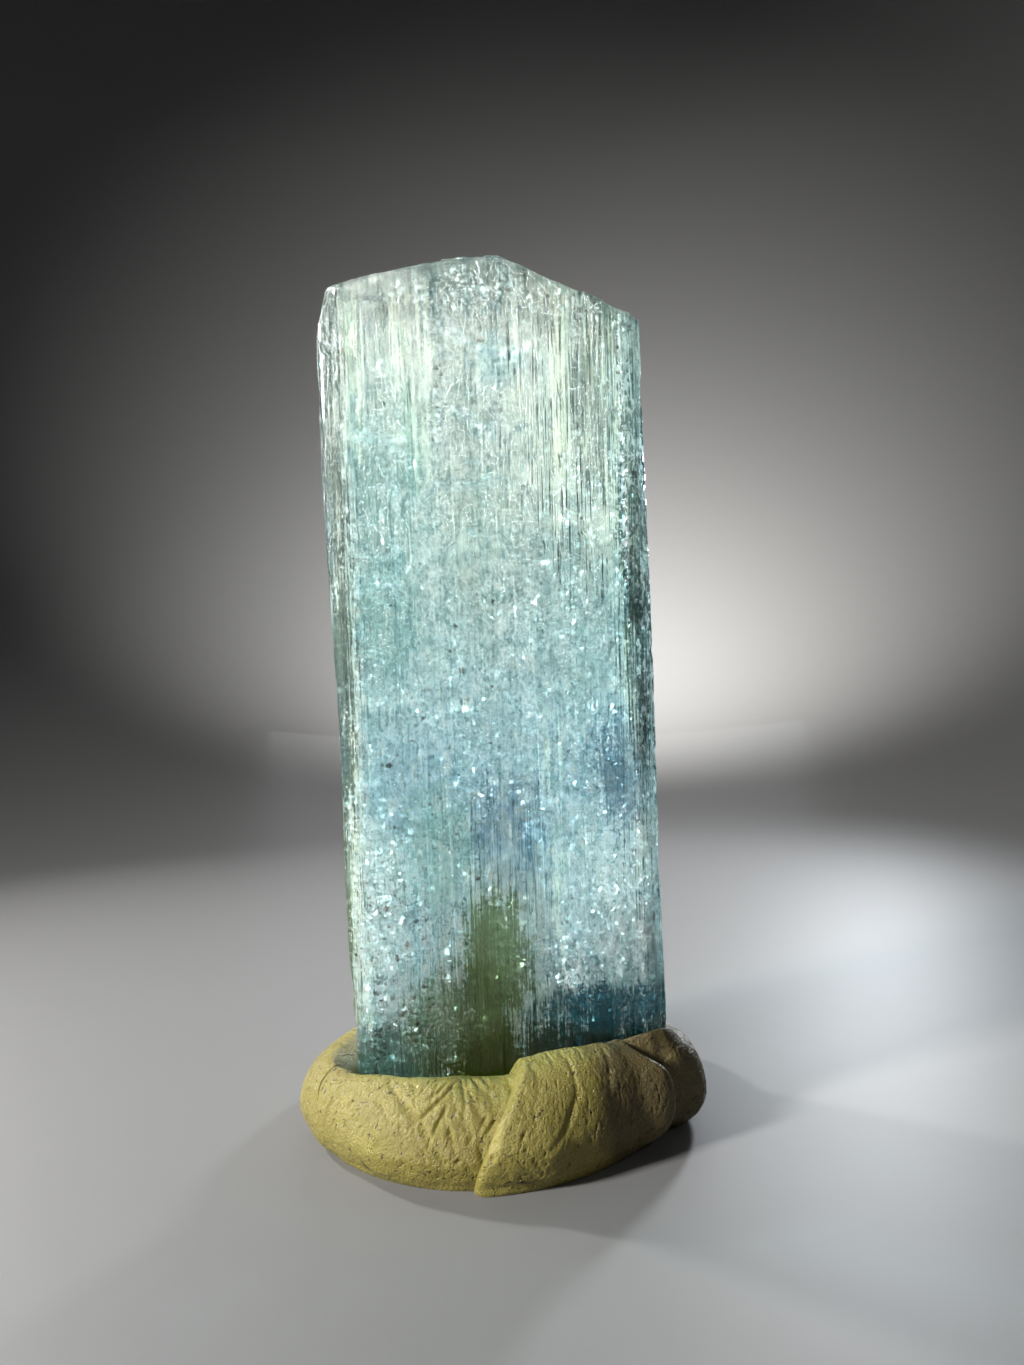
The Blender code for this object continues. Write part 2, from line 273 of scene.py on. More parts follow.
def stepDepths(height):
    # Depth of each growth step (rows) at each height (columns): a base depth, deeper on
    # every second step, and a slow wave along the crystal
    shares = [np.random.default_rng(100 + step).uniform((0.0, 0.1, 16.0, 0.0), (0.45, 0.4, 45.0, 6.3))
              for step in range(len(stepAt))]
    base, swing, length, start = np.array(shares).T[..., None]
    alternate = 0.5 * (np.arange(len(stepAt)) % 2)[:, None]
    wave = np.sin(2.0 * np.pi * height[None, :] / length + start)
    return crystal["stepDepth"] * np.clip(base + alternate + swing * wave, 0.0, 1.0)


def steppedRelief(along, bounds, depths, riser):
    # Depth at each place along the outline (rows) and height (columns): flat steps whose
    # depths blend across a narrow riser
    index = np.searchsorted(bounds, along, side="right") - 1
    blend = smoothStep((along - bounds[index]) / riser + 0.5)[:, None]
    after = (index + 1) % len(bounds)
    towards = np.append(bounds[1:], perimeter)[index]
    ahead = smoothStep((along - towards) / riser + 0.5)[:, None]
    here = depths[index - 1] * (1 - blend) + depths[index] * blend
    return here * (1 - ahead) + depths[after] * ahead


def terraceRise(x, y):
    total = 0.0
    for angle, length, start, share in crystal["terraceWaves"]:
        across = x * np.cos(np.radians(angle)) + y * np.sin(np.radians(angle))
        total = total + share * np.sin(2.0 * np.pi * across / length + start)
    return total


def topHeight(x, y):
    # The rim's profile, falling to the back, in flat terraces with low etch hillocks
    places, drops = np.array(crystal["topRim"]).T
    behind = y + crystal["faces"][0][1]
    rise = terraceRise(x, y)
    terrace = np.floor(rise) + smoothStep((rise - np.floor(rise) - 0.38) / 0.24)
    share = smoothStep(behind / crystal["terraceStarts"]) * (1.0 - 0.85 * smoothStep((x - 5.8) / 1.4))
    rim = crystal["height"] - np.interp(x, places, drops)
    hillocks = (0.07 * fractalNoise(x * 1.6 + 40, y * 1.6 + 40, 71, 3) - 0.05) * share
    high = rim - crystal["fallToBack"] * behind + crystal["terraceHeight"] * terrace * share + hillocks
    return np.minimum(high, crystal["height"] + 0.02 - 0.025 * np.maximum(x, 0.0))


def footHeight(x, y):
    return crystal["foot"] + crystal["footRelief"] * (0.5 + terraceRise(x, y) / 6.2)


def leant(points):
    # Turned about the Y axis by the lean, then moved to the foot's place
    angle = -np.radians(crystal["lean"])
    x, y, z = np.moveaxis(points, -1, 0)
    turned = np.stack([x * np.cos(angle) + z * np.sin(angle), y, z * np.cos(angle) - x * np.sin(angle)], -1)
    return turned + np.array([*crystal["axis"], 0.0])


def crystalSurface():
    # Point (s, v): s runs round the outline and v from the foot to the top. The point on
    # the twelve-sided outline, grown with height, is moved in along its face's direction by
    # the growth steps, the fine striations, the etch pits and the worn corners.
    spread = np.arange(0.0, perimeter, crystal["columnSpacing"])
    riser = crystal["stepRiser"]
    beside = [cornerAt[:-1] - 0.09, cornerAt[:-1] + 0.09]
    extra = np.concatenate([stepAt - riser / 2, stepAt + riser / 2, *beside])
    along = np.unique(np.round(np.concatenate([spread, extra % perimeter, cornerAt[:-1]]), 4))
    keep = np.concatenate([[True], np.diff(along) > 0.018])
    along = along[keep]
    share = np.linspace(0.0, 1.0, crystal["rows"])
    height = share * crystal["height"]
    closed = np.vstack([corners, corners[:1]])
    flat = np.stack([np.interp(along, cornerAt, closed[:, axis]) for axis in (0, 1)], axis=-1)

    faceAngles = np.array([face[0] for face in crystal["faces"]] + [crystal["faces"][0][0] + 360.0])
    face = np.searchsorted(cornerAt, along, side="right") - 1
    fromStart, toEnd = along - cornerAt[face], cornerAt[face + 1] - along
    turn = 15.0 * (np.clip(1 - toEnd / 0.12, 0, 1) - np.clip(1 - fromStart / 0.12, 0, 1))
    outward = unit(faceAngles[face] + turn)
    nearCorner = np.clip(1 - np.minimum(fromStart, toEnd) / 0.14, 0, 1)[:, None]

    depth = steppedRelief(along, stepAt, stepDepths(height), riser)
    chance = np.random.default_rng(29)
    fineAt = np.cumsum(chance.uniform(*crystal["fineWidths"], 400))
    fineAt = np.concatenate([[0.0], fineAt[fineAt < perimeter - 0.1]])
    lines = np.arange(len(fineAt))[:, None]
    fine = latticeNoise(lines * 3.7 + 0.5, height[None, :] / 7.0, 31) + 0.35
    fine = np.clip(fine, 0.0, 1.0) * chance.uniform(0.3, 1.0, (len(fineAt), 1))
    depth = depth + crystal["fineDepth"] * steppedRelief(along, fineAt, fine, 0.05)
    pits = latticeNoise(along[:, None] / 0.42, height[None, :] / 0.95, 37)
    depth = depth + 0.06 * smoothStep((pits - 0.42) / 0.22)
    chips = latticeNoise(along[:, None] / 0.7, height[None, :] / 0.9, 43)
    depth = depth + nearCorner * (0.02 + 0.13 * smoothStep((chips - 0.15) / 0.5))
    nearTop = np.clip(1 - (crystal["height"] - height) / 0.5, 0, 1)[None, :]
    worn = latticeNoise(along[:, None] / 0.6, 0.5, 47) * 0.5 + 0.5
    depth = depth + 0.07 * nearTop**2 * worn

    grown = 1.0 + (crystal["growth"] - 1.0) * share
    place = flat[:, None, :] * grown[None, :, None] - outward[:, None, :] * depth[..., None]
    x, y = place[..., 0], place[..., 1]
    low, high = footHeight(x, y), topHeight(x, y)
    return np.stack([x, y, low + (high - low) * share[None, :]], axis=-1).transpose(1, 0, 2), outward


def insidePrism(flat, margin):
    angles, distances = np.array(crystal["faces"]).T
    return (flat @ unit(angles).T < distances - margin).all(axis=-1)


def capFaces(rim, spacing, heightAt, start, upward):
    # Fills a closed rim: evenly spaced points inside it, joined by a Delaunay net
    reach = 9.0
    column, row = np.meshgrid(np.arange(-reach, reach, spacing), np.arange(-reach, reach, spacing * 0.866))
    column = column + 0.5 * spacing * (np.round(row / (spacing * 0.866)) % 2)
    inner = np.stack([column.ravel(), row.ravel()], axis=-1)
    inner = inner[insidePrism(inner, 0.36)]
    flat = np.vstack([rim[:, :2], inner])
    loop = [(index, (index + 1) % len(rim)) for index in range(len(rim))]
    net = delaunay_2d_cdt([Vector(place) for place in flat.tolist()], loop, [], 1, 1e-7)
    added = np.array([list(place) for place in net[0]])[len(rim) :]
    triangles = np.array(net[2])
    if not upward:
        triangles = triangles[:, ::-1]
    points = np.column_stack([added, heightAt(added[:, 0], added[:, 1])])
    numbers = np.concatenate([start[0] + np.arange(len(rim)), start[1] + np.arange(len(added))])
    return points, numbers[triangles]


def buildCrystal(surface, material):
    rows, columns = surface.shape[:2]
    body = surface.reshape(-1, 3)
    starts = ((rows - 1) * columns, len(body))
    top, topFaces = capFaces(surface[-1], crystal["topSpacing"], topHeight, starts, True)
    start = len(body) + len(top)
    base, baseFaces = capFaces(surface[0], 0.6, footHeight, (0, start), False)
    points = leant(np.vstack([body, top, base]))
    faces = gridFaces(rows, columns, True).tolist() + topFaces.tolist() + baseFaces.tolist()
    piece = addPiece("aquamarineCrystal", points, faces, material, 24.0)
    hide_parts("aquamarine_crystal")
    return piece


# What grew inside the crystal

inside = {
    "tubes": 1500,
    "flakes": 5200,
    "veils": 26,
    "glints": 47000,
    "specks": 1100,
    "margin": 0.34,
    # where most glints lie: across, height, their spreads, weight
    "glintZones": (
        (-6.3, 10.0, 0.8, 4.5, 8.0), (6.4, 12.0, 1.1, 5.0, 8.0), (3.4, 9.0, 1.5, 1.9, 7.0),
        (7.4, 26.0, 0.5, 8.0, 14.0), (-7.5, 30.0, 0.35, 8.0, 3.5), (-5.6, 23.0, 1.3, 4.5, 1.6),
        (0.6, 19.0, 2.2, 3.2, 1.6), (0.0, 42.0, 6.0, 0.7, 1.6), (4.6, 27.0, 2.0, 6.0, 1.6),
        (6.0, 35.0, 1.0, 4.0, 2.2),
    ),
    # pale lines near the front: across and height, from and to, then how many
    "lineBands": (
        (-6.7, -5.6, 34.0, 42.0, 30), (-4.1, -2.4, 33.0, 42.5, 40), (1.5, 2.0, 36.0, 41.5, 9),
        (3.4, 4.4, 31.0, 41.0, 22), (4.9, 6.6, 29.0, 40.5, 40), (-7.5, -6.9, 5.0, 38.0, 75),
        (6.5, 7.5, 18.0, 38.0, 60), (2.4, 3.4, 8.0, 20.0, 24),
    ),
    # curved cracks near the front: points across and up, then how many plates
    "wisps": (
        (((-6.9, 35.2), (-5.8, 35.2), (-4.4, 34.8), (-3.5, 34.4)), 240),
        (((-1.2, 36.4), (-0.4, 35.6), (0.5, 35.0)), 170),
        (((-2.6, 32.7), (-1.2, 32.4), (0.8, 32.9)), 190),
        (((-1.6, 40.2), (-0.4, 39.4), (1.2, 38.8), (1.9, 38.9)), 150),
        (((-6.4, 27.5), (-5.0, 27.9), (-4.0, 27.2)), 160),
        (((2.0, 24.0), (3.5, 25.2), (5.0, 24.9)), 130),
        (((5.3, 15.2), (5.9, 16.0), (6.4, 16.8)), 90),
        (((-3.4, 21.0), (-2.0, 21.6), (-0.6, 21.2)), 120),
    ),
}


def insidePlaces(count, margin, chance, low=5.0, high=41.0):
    # Random places in the prism, given in its own upright frame
    places = np.column_stack([chance.uniform(-8.2, 8.2, count * 3), chance.uniform(-5, 5, count * 3)])
    places = places[insidePrism(places, margin)][:count]
    return np.column_stack([places, chance.uniform(low, high, len(places))])


def frontAt(across):
    # How far back the crystal's front lies at a place across it
    angles, distances = np.array(crystal["faces"]).T
    facing = unit(angles)
    front = facing[:, 1] < -0.1
    return ((distances[front] - facing[front, 0] * across[:, None]) / facing[front, 1]).max(axis=1)


def spindles(places, middle, length, thick, chance):
    # Four-sided needles along the crystal, each thinner at its ends and barely tilted
    count = len(places)
    ring = unit(np.array([45.0, 135.0, 225.0, 315.0]))
    levels = np.array([-0.5, -0.2, 0.25, 0.5])
    wide = np.array([0.25, 1.0, 0.9, 0.2])
    tilt = chance.normal(0, 0.006, (count, 1, 1, 2))
    z = length[:, None, None] * levels[None, :, None] * np.ones((1, 1, 4))
    reach = thick[:, None, None, None] * wide[None, :, None, None] * ring[None, None]
    flat = places[:, None, None, :2] + reach + tilt * z[..., None]
    points = np.concatenate([flat, (middle[:, None, None] + z)[..., None]], axis=-1).reshape(-1, 3)
    one = gridFaces(4, 4, True).tolist() + [[3, 2, 1, 0], [12, 13, 14, 15]]
    faces = (np.array(one)[None] + 16 * np.arange(count)[:, None, None]).reshape(-1, 4)
    return leant(points), faces.tolist()


def buildTubes(material):
    # Growth tubes: needles at random places, as long and as thick as their random numbers
    chance = np.random.default_rng(5)
    places = insidePlaces(inside["tubes"], inside["margin"], chance)
    count = len(places)
    length = np.exp(chance.normal(0.75, 0.65, count)).clip(0.5, 8.0)
    limit = topHeight(places[:, 0], places[:, 1]) - 0.6
    middle = np.clip(places[:, 2], 1.2 + length / 2, limit - length / 2)
    points, faces = spindles(places, middle, length, chance.uniform(0.010, 0.034, count), chance)
    return addPiece("growthTubes", points, faces, material)


def buildLines(material):
    # Pale growth lines close behind the front, in the bands where the photograph shows them
    chance = np.random.default_rng(23)
    across, height = [], []
    for low, high, begin, end, count in inside["lineBands"]:
        across.append(chance.uniform(low, high, count))
        height.append(chance.uniform(begin, end, count))
    across, height = np.concatenate(across), np.concatenate(height)
    deep = frontAt(across) + 0.36 + chance.gamma(1.5, 0.12, len(across))
    places = np.column_stack([across, deep])
    length = np.exp(chance.normal(1.0, 0.5, len(across))).clip(0.8, 7.0)
    limit = topHeight(across, deep) - 0.5
    middle = np.clip(height, 1.5 + length / 2, limit - length / 2)
    points, faces = spindles(places, middle, length, chance.uniform(0.014, 0.042, len(across)), chance)
    return addPiece("growthLines", points, faces, material)


def polygonRim(first, second, angle, reach):
    # The corners of flat polygons, from each one's two directions
    rim = first[:, None] * (np.cos(angle) * reach)[..., None]
    return rim + second[:, None] * (np.sin(angle) * reach)[..., None]


def flakeMesh(middles, normals, sizes, chance, sides=5, thin=0.10):
    # Thin plates: two parallel polygons of random radii, across each plate's normal
    count = len(middles)
    normals = normals / np.linalg.norm(normals, axis=-1, keepdims=True)
    helper = np.where(np.abs(normals[:, 2:3]) > 0.9, [[1.0, 0, 0]], [[0, 0, 1.0]])
    first = np.cross(normals, helper)
    first = first / np.linalg.norm(first, axis=-1, keepdims=True)
    second = np.cross(normals, first)
    angle = (np.arange(sides) + chance.uniform(0, 1, (count, 1))) * 2 * np.pi / sides
    reach = sizes[:, None] * chance.uniform(0.5, 1.0, (count, sides))
    rim = polygonRim(first, second, angle, reach)
    lift = normals[:, None] * (sizes * thin)[:, None, None]
    points = np.concatenate([middles[:, None] + rim - lift, middles[:, None] + rim + lift], axis=1)
    around = np.arange(sides)
    after = (around + 1) % sides
    walls = np.stack([around, after, after + sides, around + sides], axis=-1).tolist()
    caps = [list(range(sides))[::-1], list(range(sides, 2 * sides))]
    offsets = 2 * sides * np.arange(count)
    walls = (np.array(walls)[None] + offsets[:, None, None]).reshape(-1, 4).tolist()
    caps = (np.array(caps)[None] + offsets[:, None, None]).reshape(-1, sides).tolist()
    return points.reshape(-1, 3), walls + caps


def chipMesh(middles, normals, sizes, chance, stretch):
    # Chips: flat three-sided pyramids, stretched upwards
    count = len(middles)
    normals = normals / np.linalg.norm(normals, axis=-1, keepdims=True)
    first = np.cross(normals, chance.normal(0, 1, (count, 3)))
    first = first / np.linalg.norm(first, axis=-1, keepdims=True)
    second = np.cross(normals, first)
    angle = 2 * np.pi / 3 * (np.arange(3) + chance.uniform(-0.25, 0.25, (count, 3)))
    reach = sizes[:, None] * chance.uniform(0.55, 1.0, (count, 3))
    rim = polygonRim(first, second, angle, reach)
    rim[..., 2] *= stretch
    tip = normals * (0.25 * sizes)[:, None]
    points = np.concatenate([middles[:, None] + rim, (middles + tip)[:, None]], axis=1)
    one = np.array([[2, 1, 0], [0, 1, 3], [1, 2, 3], [2, 0, 3]])
    faces = (one[None] + 4 * np.arange(count)[:, None, None]).reshape(-1, 3)
    return points.reshape(-1, 3), faces.tolist()


def buildFlakes(material):
    # Healed cracks: small plates strewn on curved sheets, denser where the photograph
    # shows glitter. A plate lies near its sheet's direction, tilted a little at random.
    chance = np.random.default_rng(8)
    share = chance.dirichlet(np.full(inside["veils"], 1.2))
    counts = np.maximum((share * inside["flakes"]).astype(int), 20)
    middles, normals = [], []
    for veil, count in enumerate(counts):
        centre = insidePlaces(4, 1.0, chance, 6.0, 39.0)[0]
        lean = chance.normal(0, 0.35, 3)
        normal = np.array([np.cos(veil * 2.4), np.sin(veil * 2.4), 0.0]) + lean
        normal = normal / np.linalg.norm(normal)
        upright = np.array([0.15, 0.1, 1.0]) + chance.normal(0, 0.35, 3)
        side = np.cross(normal, upright)
        side = side / np.linalg.norm(side)
        rise = np.cross(side, normal)
        a = chance.normal(0, 1.0, count) * chance.uniform(0.8, 2.4)
        b = chance.normal(0, 1.0, count) * chance.uniform(2.0, 6.0)
        bow = 0.12 * a**2 * chance.uniform(-1, 1) + 0.25 * np.sin(b * 0.9 + veil)
        bow = bow + chance.normal(0, 0.08, count)
        middles.append(centre + side * a[:, None] + rise * b[:, None] + normal * bow[:, None])
        normals.append(normal + chance.normal(0, 0.55, (count, 3)))
    zones = (  # across, depth, height: middle and spread, and number of plates
        ((-6.0, -3.6, 10.5), (0.8, 0.8, 3.6), 900),
        ((4.8, -3.4, 11.0), (1.5, 0.9, 3.8), 1000),
        ((6.6, -3.3, 24.0), (0.4, 0.7, 8.0), 700),
        ((1.5, -3.9, 33.0), (3.2, 0.7, 3.2), 300),
        ((-1.5, -3.9, 20.0), (3.0, 0.8, 5.0), 300),
    )
    for middle, spread, count in zones:
        middles.append(np.array(middle) + chance.normal(0, 1, (count, 3)) * np.array(spread))
        normals.append(chance.normal(0, 1, (count, 3)) * np.array([1.0, 1.0, 0.45]))
    for line, count in inside["wisps"]:
        path = curveThrough(np.array(line), chance.random(count)) + chance.normal(0, 0.13, (count, 2))
        deep = frontAt(path[:, 0]) + 0.40 + chance.gamma(1.5, 0.30, count)
        middles.append(np.column_stack([path[:, 0], deep, path[:, 1]]))
        normals.append(chance.normal(0, 1, (count, 3)) * np.array([0.8, 1.0, 0.8]))
    middles, normals = np.vstack(middles), np.vstack(normals)
    good = insidePrism(middles[:, :2], inside["margin"]) & (middles[:, 2] > 1.5)
    good &= middles[:, 2] < topHeight(middles[:, 0], middles[:, 1]) - 0.7
    middles, normals = middles[good], normals[good]
    sizes = np.exp(chance.normal(-2.55, 0.5, len(middles))).clip(0.025, 0.24)
    points, faces = flakeMesh(middles, normals, sizes, chance)
    print("flakes", len(middles))
    return addPiece("crackFlakes", leant(points), faces, material)


def underSurface(surface, outward, weight, count, chance):
    # Random places a little way in from the faces, as likely as their weights say, and the
    # direction that each one's face looks
    columns = surface.shape[1]
    weight = weight * (surface[..., 2] > 1.6)
    weight = weight * (surface[..., 2] < topHeight(surface[..., 0], surface[..., 1]) - 0.25)
    chosen = chance.choice(weight.size, count, p=(weight / weight.sum()).ravel())
    middles = surface.reshape(-1, 3)[chosen]
    facing = outward[chosen % columns]
    sideways = np.column_stack([-facing[:, 1], facing[:, 0]])
    middles[:, :2] -= facing * (0.09 + chance.gamma(1.3, 0.16, (count, 1)))
    middles[:, :2] += sideways * chance.uniform(-0.05, 0.05, (count, 1))
    middles[:, 2] += chance.uniform(-0.18, 0.18, count)
    good = insidePrism(middles[:, :2], 0.10)
    return middles[good], facing[good]


def buildGlints(surface, outward, material):
    # Tiny cracks close under the faces. Each chip lies a little way in from a random point
    # of the surface, and is likelier in the zones and in a patchy noise.
    chance = np.random.default_rng(17)
    rows, columns = surface.shape[:2]
    x, z = surface[..., 0], surface[..., 2]
    row, column = np.indices((rows, columns))
    patchy = fractalNoise(column / 11.0, row / 7.0, 83, 4)
    weight = 0.05 + 1.6 * smoothStep((patchy - 0.15) / 0.65)
    for across, height, wide, tall, strength in inside["glintZones"]:
        near = np.exp(-0.5 * (((x - across) / wide) ** 2 + ((z - height) / tall) ** 2))
        weight = weight + strength * near * (0.25 + smoothStep((patchy + 0.35) / 0.9))
    weight = weight * (1.0 - 0.85 * (z < 7.6) * (x > 0.6))
    middles, inward = underSurface(surface, outward, weight, inside["glints"], chance)
    normals = 0.6 * np.column_stack([inward, np.zeros(len(middles))]) + chance.normal(0, 0.9, middles.shape)
    sizes = np.exp(chance.normal(-2.55, 0.5, len(middles))).clip(0.035, 0.22)
    stretch = chance.uniform(0.8, 2.6, (len(middles), 1))
    points, faces = chipMesh(middles, normals, sizes, chance, stretch)
    return addPiece("surfaceGlints", leant(points), faces, material)


def buildSpecks(surface, outward, material):
    # Dark mineral grains close under the faces: most low on the left, the rest strewn
    chance = np.random.default_rng(13)
    zones = (
        (-6.2, 11.8, 0.5, 0.25, 40.0), (-1.9, 11.6, 0.6, 0.25, 40.0), (-4.7, 6.2, 0.7, 0.45, 60.0),
        (-6.8, 5.1, 0.4, 0.5, 50.0), (-5.2, 8.5, 1.3, 2.0, 5.0), (-3.5, 14.0, 2.4, 5.0, 2.0),
        (-2.0, 36.5, 1.4, 2.4, 2.0), (-1.6, 38.0, 0.4, 0.4, 12.0), (-6.0, 33.0, 0.2, 0.5, 14.0),
    )
    x, z = surface[..., 0], surface[..., 2]
    weight = np.full(x.shape, 0.12)
    for across, height, wide, tall, strength in zones:
        weight = weight + strength * np.exp(-0.5 * (((x - across) / wide) ** 2 + ((z - height) / tall) ** 2))
    middles, _ = underSurface(surface, outward, weight, inside["specks"], chance)
    sizes = np.exp(chance.normal(-2.60, 0.45, len(middles))).clip(0.035, 0.17)
    points, faces = flakeMesh(middles, chance.normal(0, 1, middles.shape), sizes, chance, 6, 0.45)
    return addPiece("mineralSpecks", leant(points), faces, material)


# The putty ring's shape

putty = {
    "gap": 0.05,
    # direction: outer radius, crest, height at the crystal, how far the foot is tucked in
    "route": (
        (-180, 10.97, 3.80, 2.90, 1.00), (-165, 11.56, 3.85, 3.00, 0.95), (-150, 11.62, 3.95, 3.10, 0.85),
        (-135, 11.45, 4.00, 3.20, 0.75), (-120, 11.15, 4.05, 3.35, 0.65), (-105, 10.75, 4.10, 3.40, 0.60),
        (-90, 10.20, 4.20, 3.50, 0.65), (-70, 9.50, 4.30, 3.80, 0.75), (-52, 9.25, 4.50, 4.25, 1.00),
        (-43, 9.70, 4.62, 5.00, 1.40), (-35, 9.72, 4.60, 5.35, 1.60), (-24, 10.64, 4.45, 4.90, 1.80),
        (-8, 10.05, 4.05, 3.80, 1.50), (12, 9.55, 3.85, 3.30, 1.10), (36, 9.75, 3.90, 3.20, 1.00),
        (62, 9.70, 3.85, 3.10, 1.00), (90, 9.50, 3.80, 3.00, 0.95), (118, 9.70, 3.80, 3.00, 1.00),
        (144, 9.85, 3.80, 2.90, 1.00), (164, 10.20, 3.80, 2.90, 1.00),
    ),
    "flapStart": (-101.0, -96.8, -89.6),  # at the floor, halfway up and at the crest
    "flapEnd": (-49.5, -37.5, -44.0),
    "flapEdges": (4.6, 4.6),
    "flapLift": 0.95,
    "flapBulge": 0.62,
    "shearReach": 24.0,
    "hollow": (-38.5, 0.42, 4.8, 0.22, 1.10),  # direction, share of width, reaches, depth
    "lumps": 0.10,
    "around": 760,
    "spacing": ((0.0, -180), (0.08, -150), (0.74, -38), (0.82, -8), (1.0, 180)),  # share, direction
    "curve": 100,
    "under": 8,
    "wall": 10,
}


def routeAt(degrees):
    # The four lengths of the route at each direction, on a closed Catmull-Rom curve
    table = np.array(putty["route"])
    turned = (degrees + 180.0) % 360.0 - 180.0
    starts = table[:, 0]
    count = len(table)
    after = np.searchsorted(starts, turned, side="right")
    near = [table[(after + step) % count, 1:] for step in (-2, -1, 0, 1)]
    begin = starts[after - 1]
    end = np.where(after < count, starts[after % count], starts[0] + 360.0)
    return curveBetween(near, ((turned - begin) / (end - begin))[..., None])


def wallDistance(degrees, height):
    # From the middle out to the crystal's wall and the gap, following the crystal's lean
    angles, distances = np.array(crystal["faces"]).T
    axis = np.array(crystal["axis"])
    axisX = axis[0] - np.tan(np.radians(crystal["lean"])) * height
    facing = unit(degrees) @ unit(angles).T
    offset = axisX[..., None] * np.cos(np.radians(angles)) + axis[1] * np.sin(np.radians(angles))
    reach = (distances + putty["gap"] + offset) / np.where(facing > 1e-6, facing, 1e-6)
    return reach.min(axis=-1)


def sectionAt(degrees, turn):
    # Across the roll: turn is 0 to 1 over the curved skin from the crystal's wall to the
    # foot's edge, 1 to 2 back under the foot, and 2 to 3 up the crystal's wall
    radius, crest, contact, tuck = np.moveaxis(routeAt(degrees), -1, 0)
    wide = radius - wallDistance(degrees, 0 * degrees)
    zero = 0.0 * wide
    points = np.stack([
        np.stack([zero, contact - 0.50], -1),
        np.stack([0.07 * wide, contact], -1),
        np.stack([0.42 * wide, crest], -1),
        np.stack([0.80 * wide, 0.80 * crest], -1),
        np.stack([wide, 0.44 * crest], -1),
        np.stack([wide - 0.22 * tuck, 0.17 * crest], -1),
        np.stack([wide - tuck, zero], -1),
    ])
    share = np.clip(turn, 0.0, 1.0)
    last = len(points) - 1
    index = np.minimum((share * last).astype(int), last - 1)
    where = np.indices(index.shape)
    near = [points[(np.clip(index + step, 0, last), *where)] for step in (-1, 0, 1, 2)]
    skin = curveBetween(near, (share * last - index)[..., None])
    under = np.clip(turn - 1.0, 0.0, 1.0)
    rising = np.clip(turn - 2.0, 0.0, 1.0)
    out = skin[..., 0] * (1.0 - under)
    height = np.where(turn > 1.0, rising * (contact - 0.50), skin[..., 1])
    return out, height, wide, crest


def edgeLine(ends, up):
    # Direction of one edge of the loose end at a share of the height, on a smooth bow
    low, middle, high = ends
    return low + (4.0 * middle - 3.0 * low - high) * up + 2.0 * (low + high - 2.0 * middle) * up**2


def shearedTo(degrees, up):
    # Slants the sections near the loose end, so that its edges lie along them
    total = degrees
    done = np.zeros(np.shape(degrees), bool)
    for ends in (putty["flapStart"], putty["flapEnd"]):
        middle = sum(ends) / 3.0
        near = np.maximum(0.0, 1.0 - np.abs(degrees - middle) / putty["shearReach"])
        moved = degrees + smoothStep(near) * (edgeLine(ends, up) - middle)
        total = np.where((near > 0.0) & ~done, moved, total)
        done = done | (near > 0.0)
    return total


def flapShare(degrees, up):
    # 1 on the loose end that lies over the ring and 0 off it, with round edges
    starting = np.clip((degrees - edgeLine(putty["flapStart"], up)) / putty["flapEdges"][0], 0.0, 1.0)
    ending = np.clip((edgeLine(putty["flapEnd"], up) - degrees) / putty["flapEdges"][1], 0.0, 1.0)
    return np.sqrt(1.0 - (1.0 - starting) ** 2) * np.sqrt(1.0 - (1.0 - ending) ** 2)


# Creases and folds: depth, width, then points as (direction, turn)
creases = (
    (0.27, 0.11, ((-131.5, 0.38), (-115.5, 0.54), (-111.5, 0.60))),
    (0.15, 0.09, ((-131, 0.47), (-127.5, 0.50), (-122.5, 0.55))),
    (0.20, 0.10, ((-110.5, 0.35), (-111.5, 0.42), (-115.5, 0.53), (-118, 0.56))),
    (0.13, 0.09, ((-113, 0.35), (-114, 0.41), (-118.5, 0.48))),
    (0.16, 0.09, ((-109.5, 0.48), (-110.5, 0.54), (-111, 0.59))),
    (0.15, 0.09, ((-110, 0.32), (-105, 0.44), (-104, 0.50))),
    (0.16, 0.10, ((-107.5, 0.56), (-106.5, 0.59), (-105, 0.63))),
    (0.14, 0.09, ((-110, 0.64), (-108.5, 0.68), (-107, 0.72))),
    (0.19, 0.10, ((-108, 0.27), (-102, 0.38), (-96.5, 0.44))),
    (0.13, 0.08, ((-104.5, 0.25), (-100.5, 0.35), (-96, 0.40))),
    (0.15, 0.09, ((-103, 0.45), (-100, 0.50), (-97, 0.55))),
    (0.10, 0.08, ((-125, 0.37), (-122.5, 0.39), (-120.5, 0.41))),
    (0.10, 0.09, ((-138, 0.45), (-135, 0.47), (-132.5, 0.49))),
    (0.12, 0.09, ((-105, 0.52), (-102.5, 0.55), (-100.5, 0.58))),
    (0.10, 0.08, ((-118, 0.54), (-116.5, 0.56), (-115.5, 0.58))),
    (0.12, 0.08, ((-106, 0.37), (-104, 0.42), (-101.5, 0.46))),
    (0.07, 0.08, ((-119.5, 0.34), (-119, 0.39), (-119.5, 0.44))),
    (0.10, 0.09, ((-114.5, 0.62), (-112.5, 0.66), (-111.5, 0.70))),
    (0.10, 0.10, ((-105.5, 0.65), (-102.5, 0.70), (-100.5, 0.76))),
    (0.11, 0.10, ((-99.5, 0.61), (-98.5, 0.66), (-98, 0.72))),
    (0.09, 0.15, ((-73, 0.34), (-71.5, 0.41), (-72, 0.52), (-77, 0.63), (-81, 0.69))),
    (0.06, 0.16, ((-86, 0.30), (-83, 0.42), (-83, 0.48), (-85, 0.55))),
    (0.07, 0.14, ((-57.5, 0.31), (-58, 0.41), (-62, 0.57))),
    (0.05, 0.12, ((-92.5, 0.31), (-91, 0.43), (-90, 0.49))),
    (0.06, 0.12, ((-66.5, 0.27), (-66, 0.34), (-67, 0.42))),
    (0.06, 0.11, ((-79, 0.27), (-77.5, 0.33), (-77, 0.39))),
)
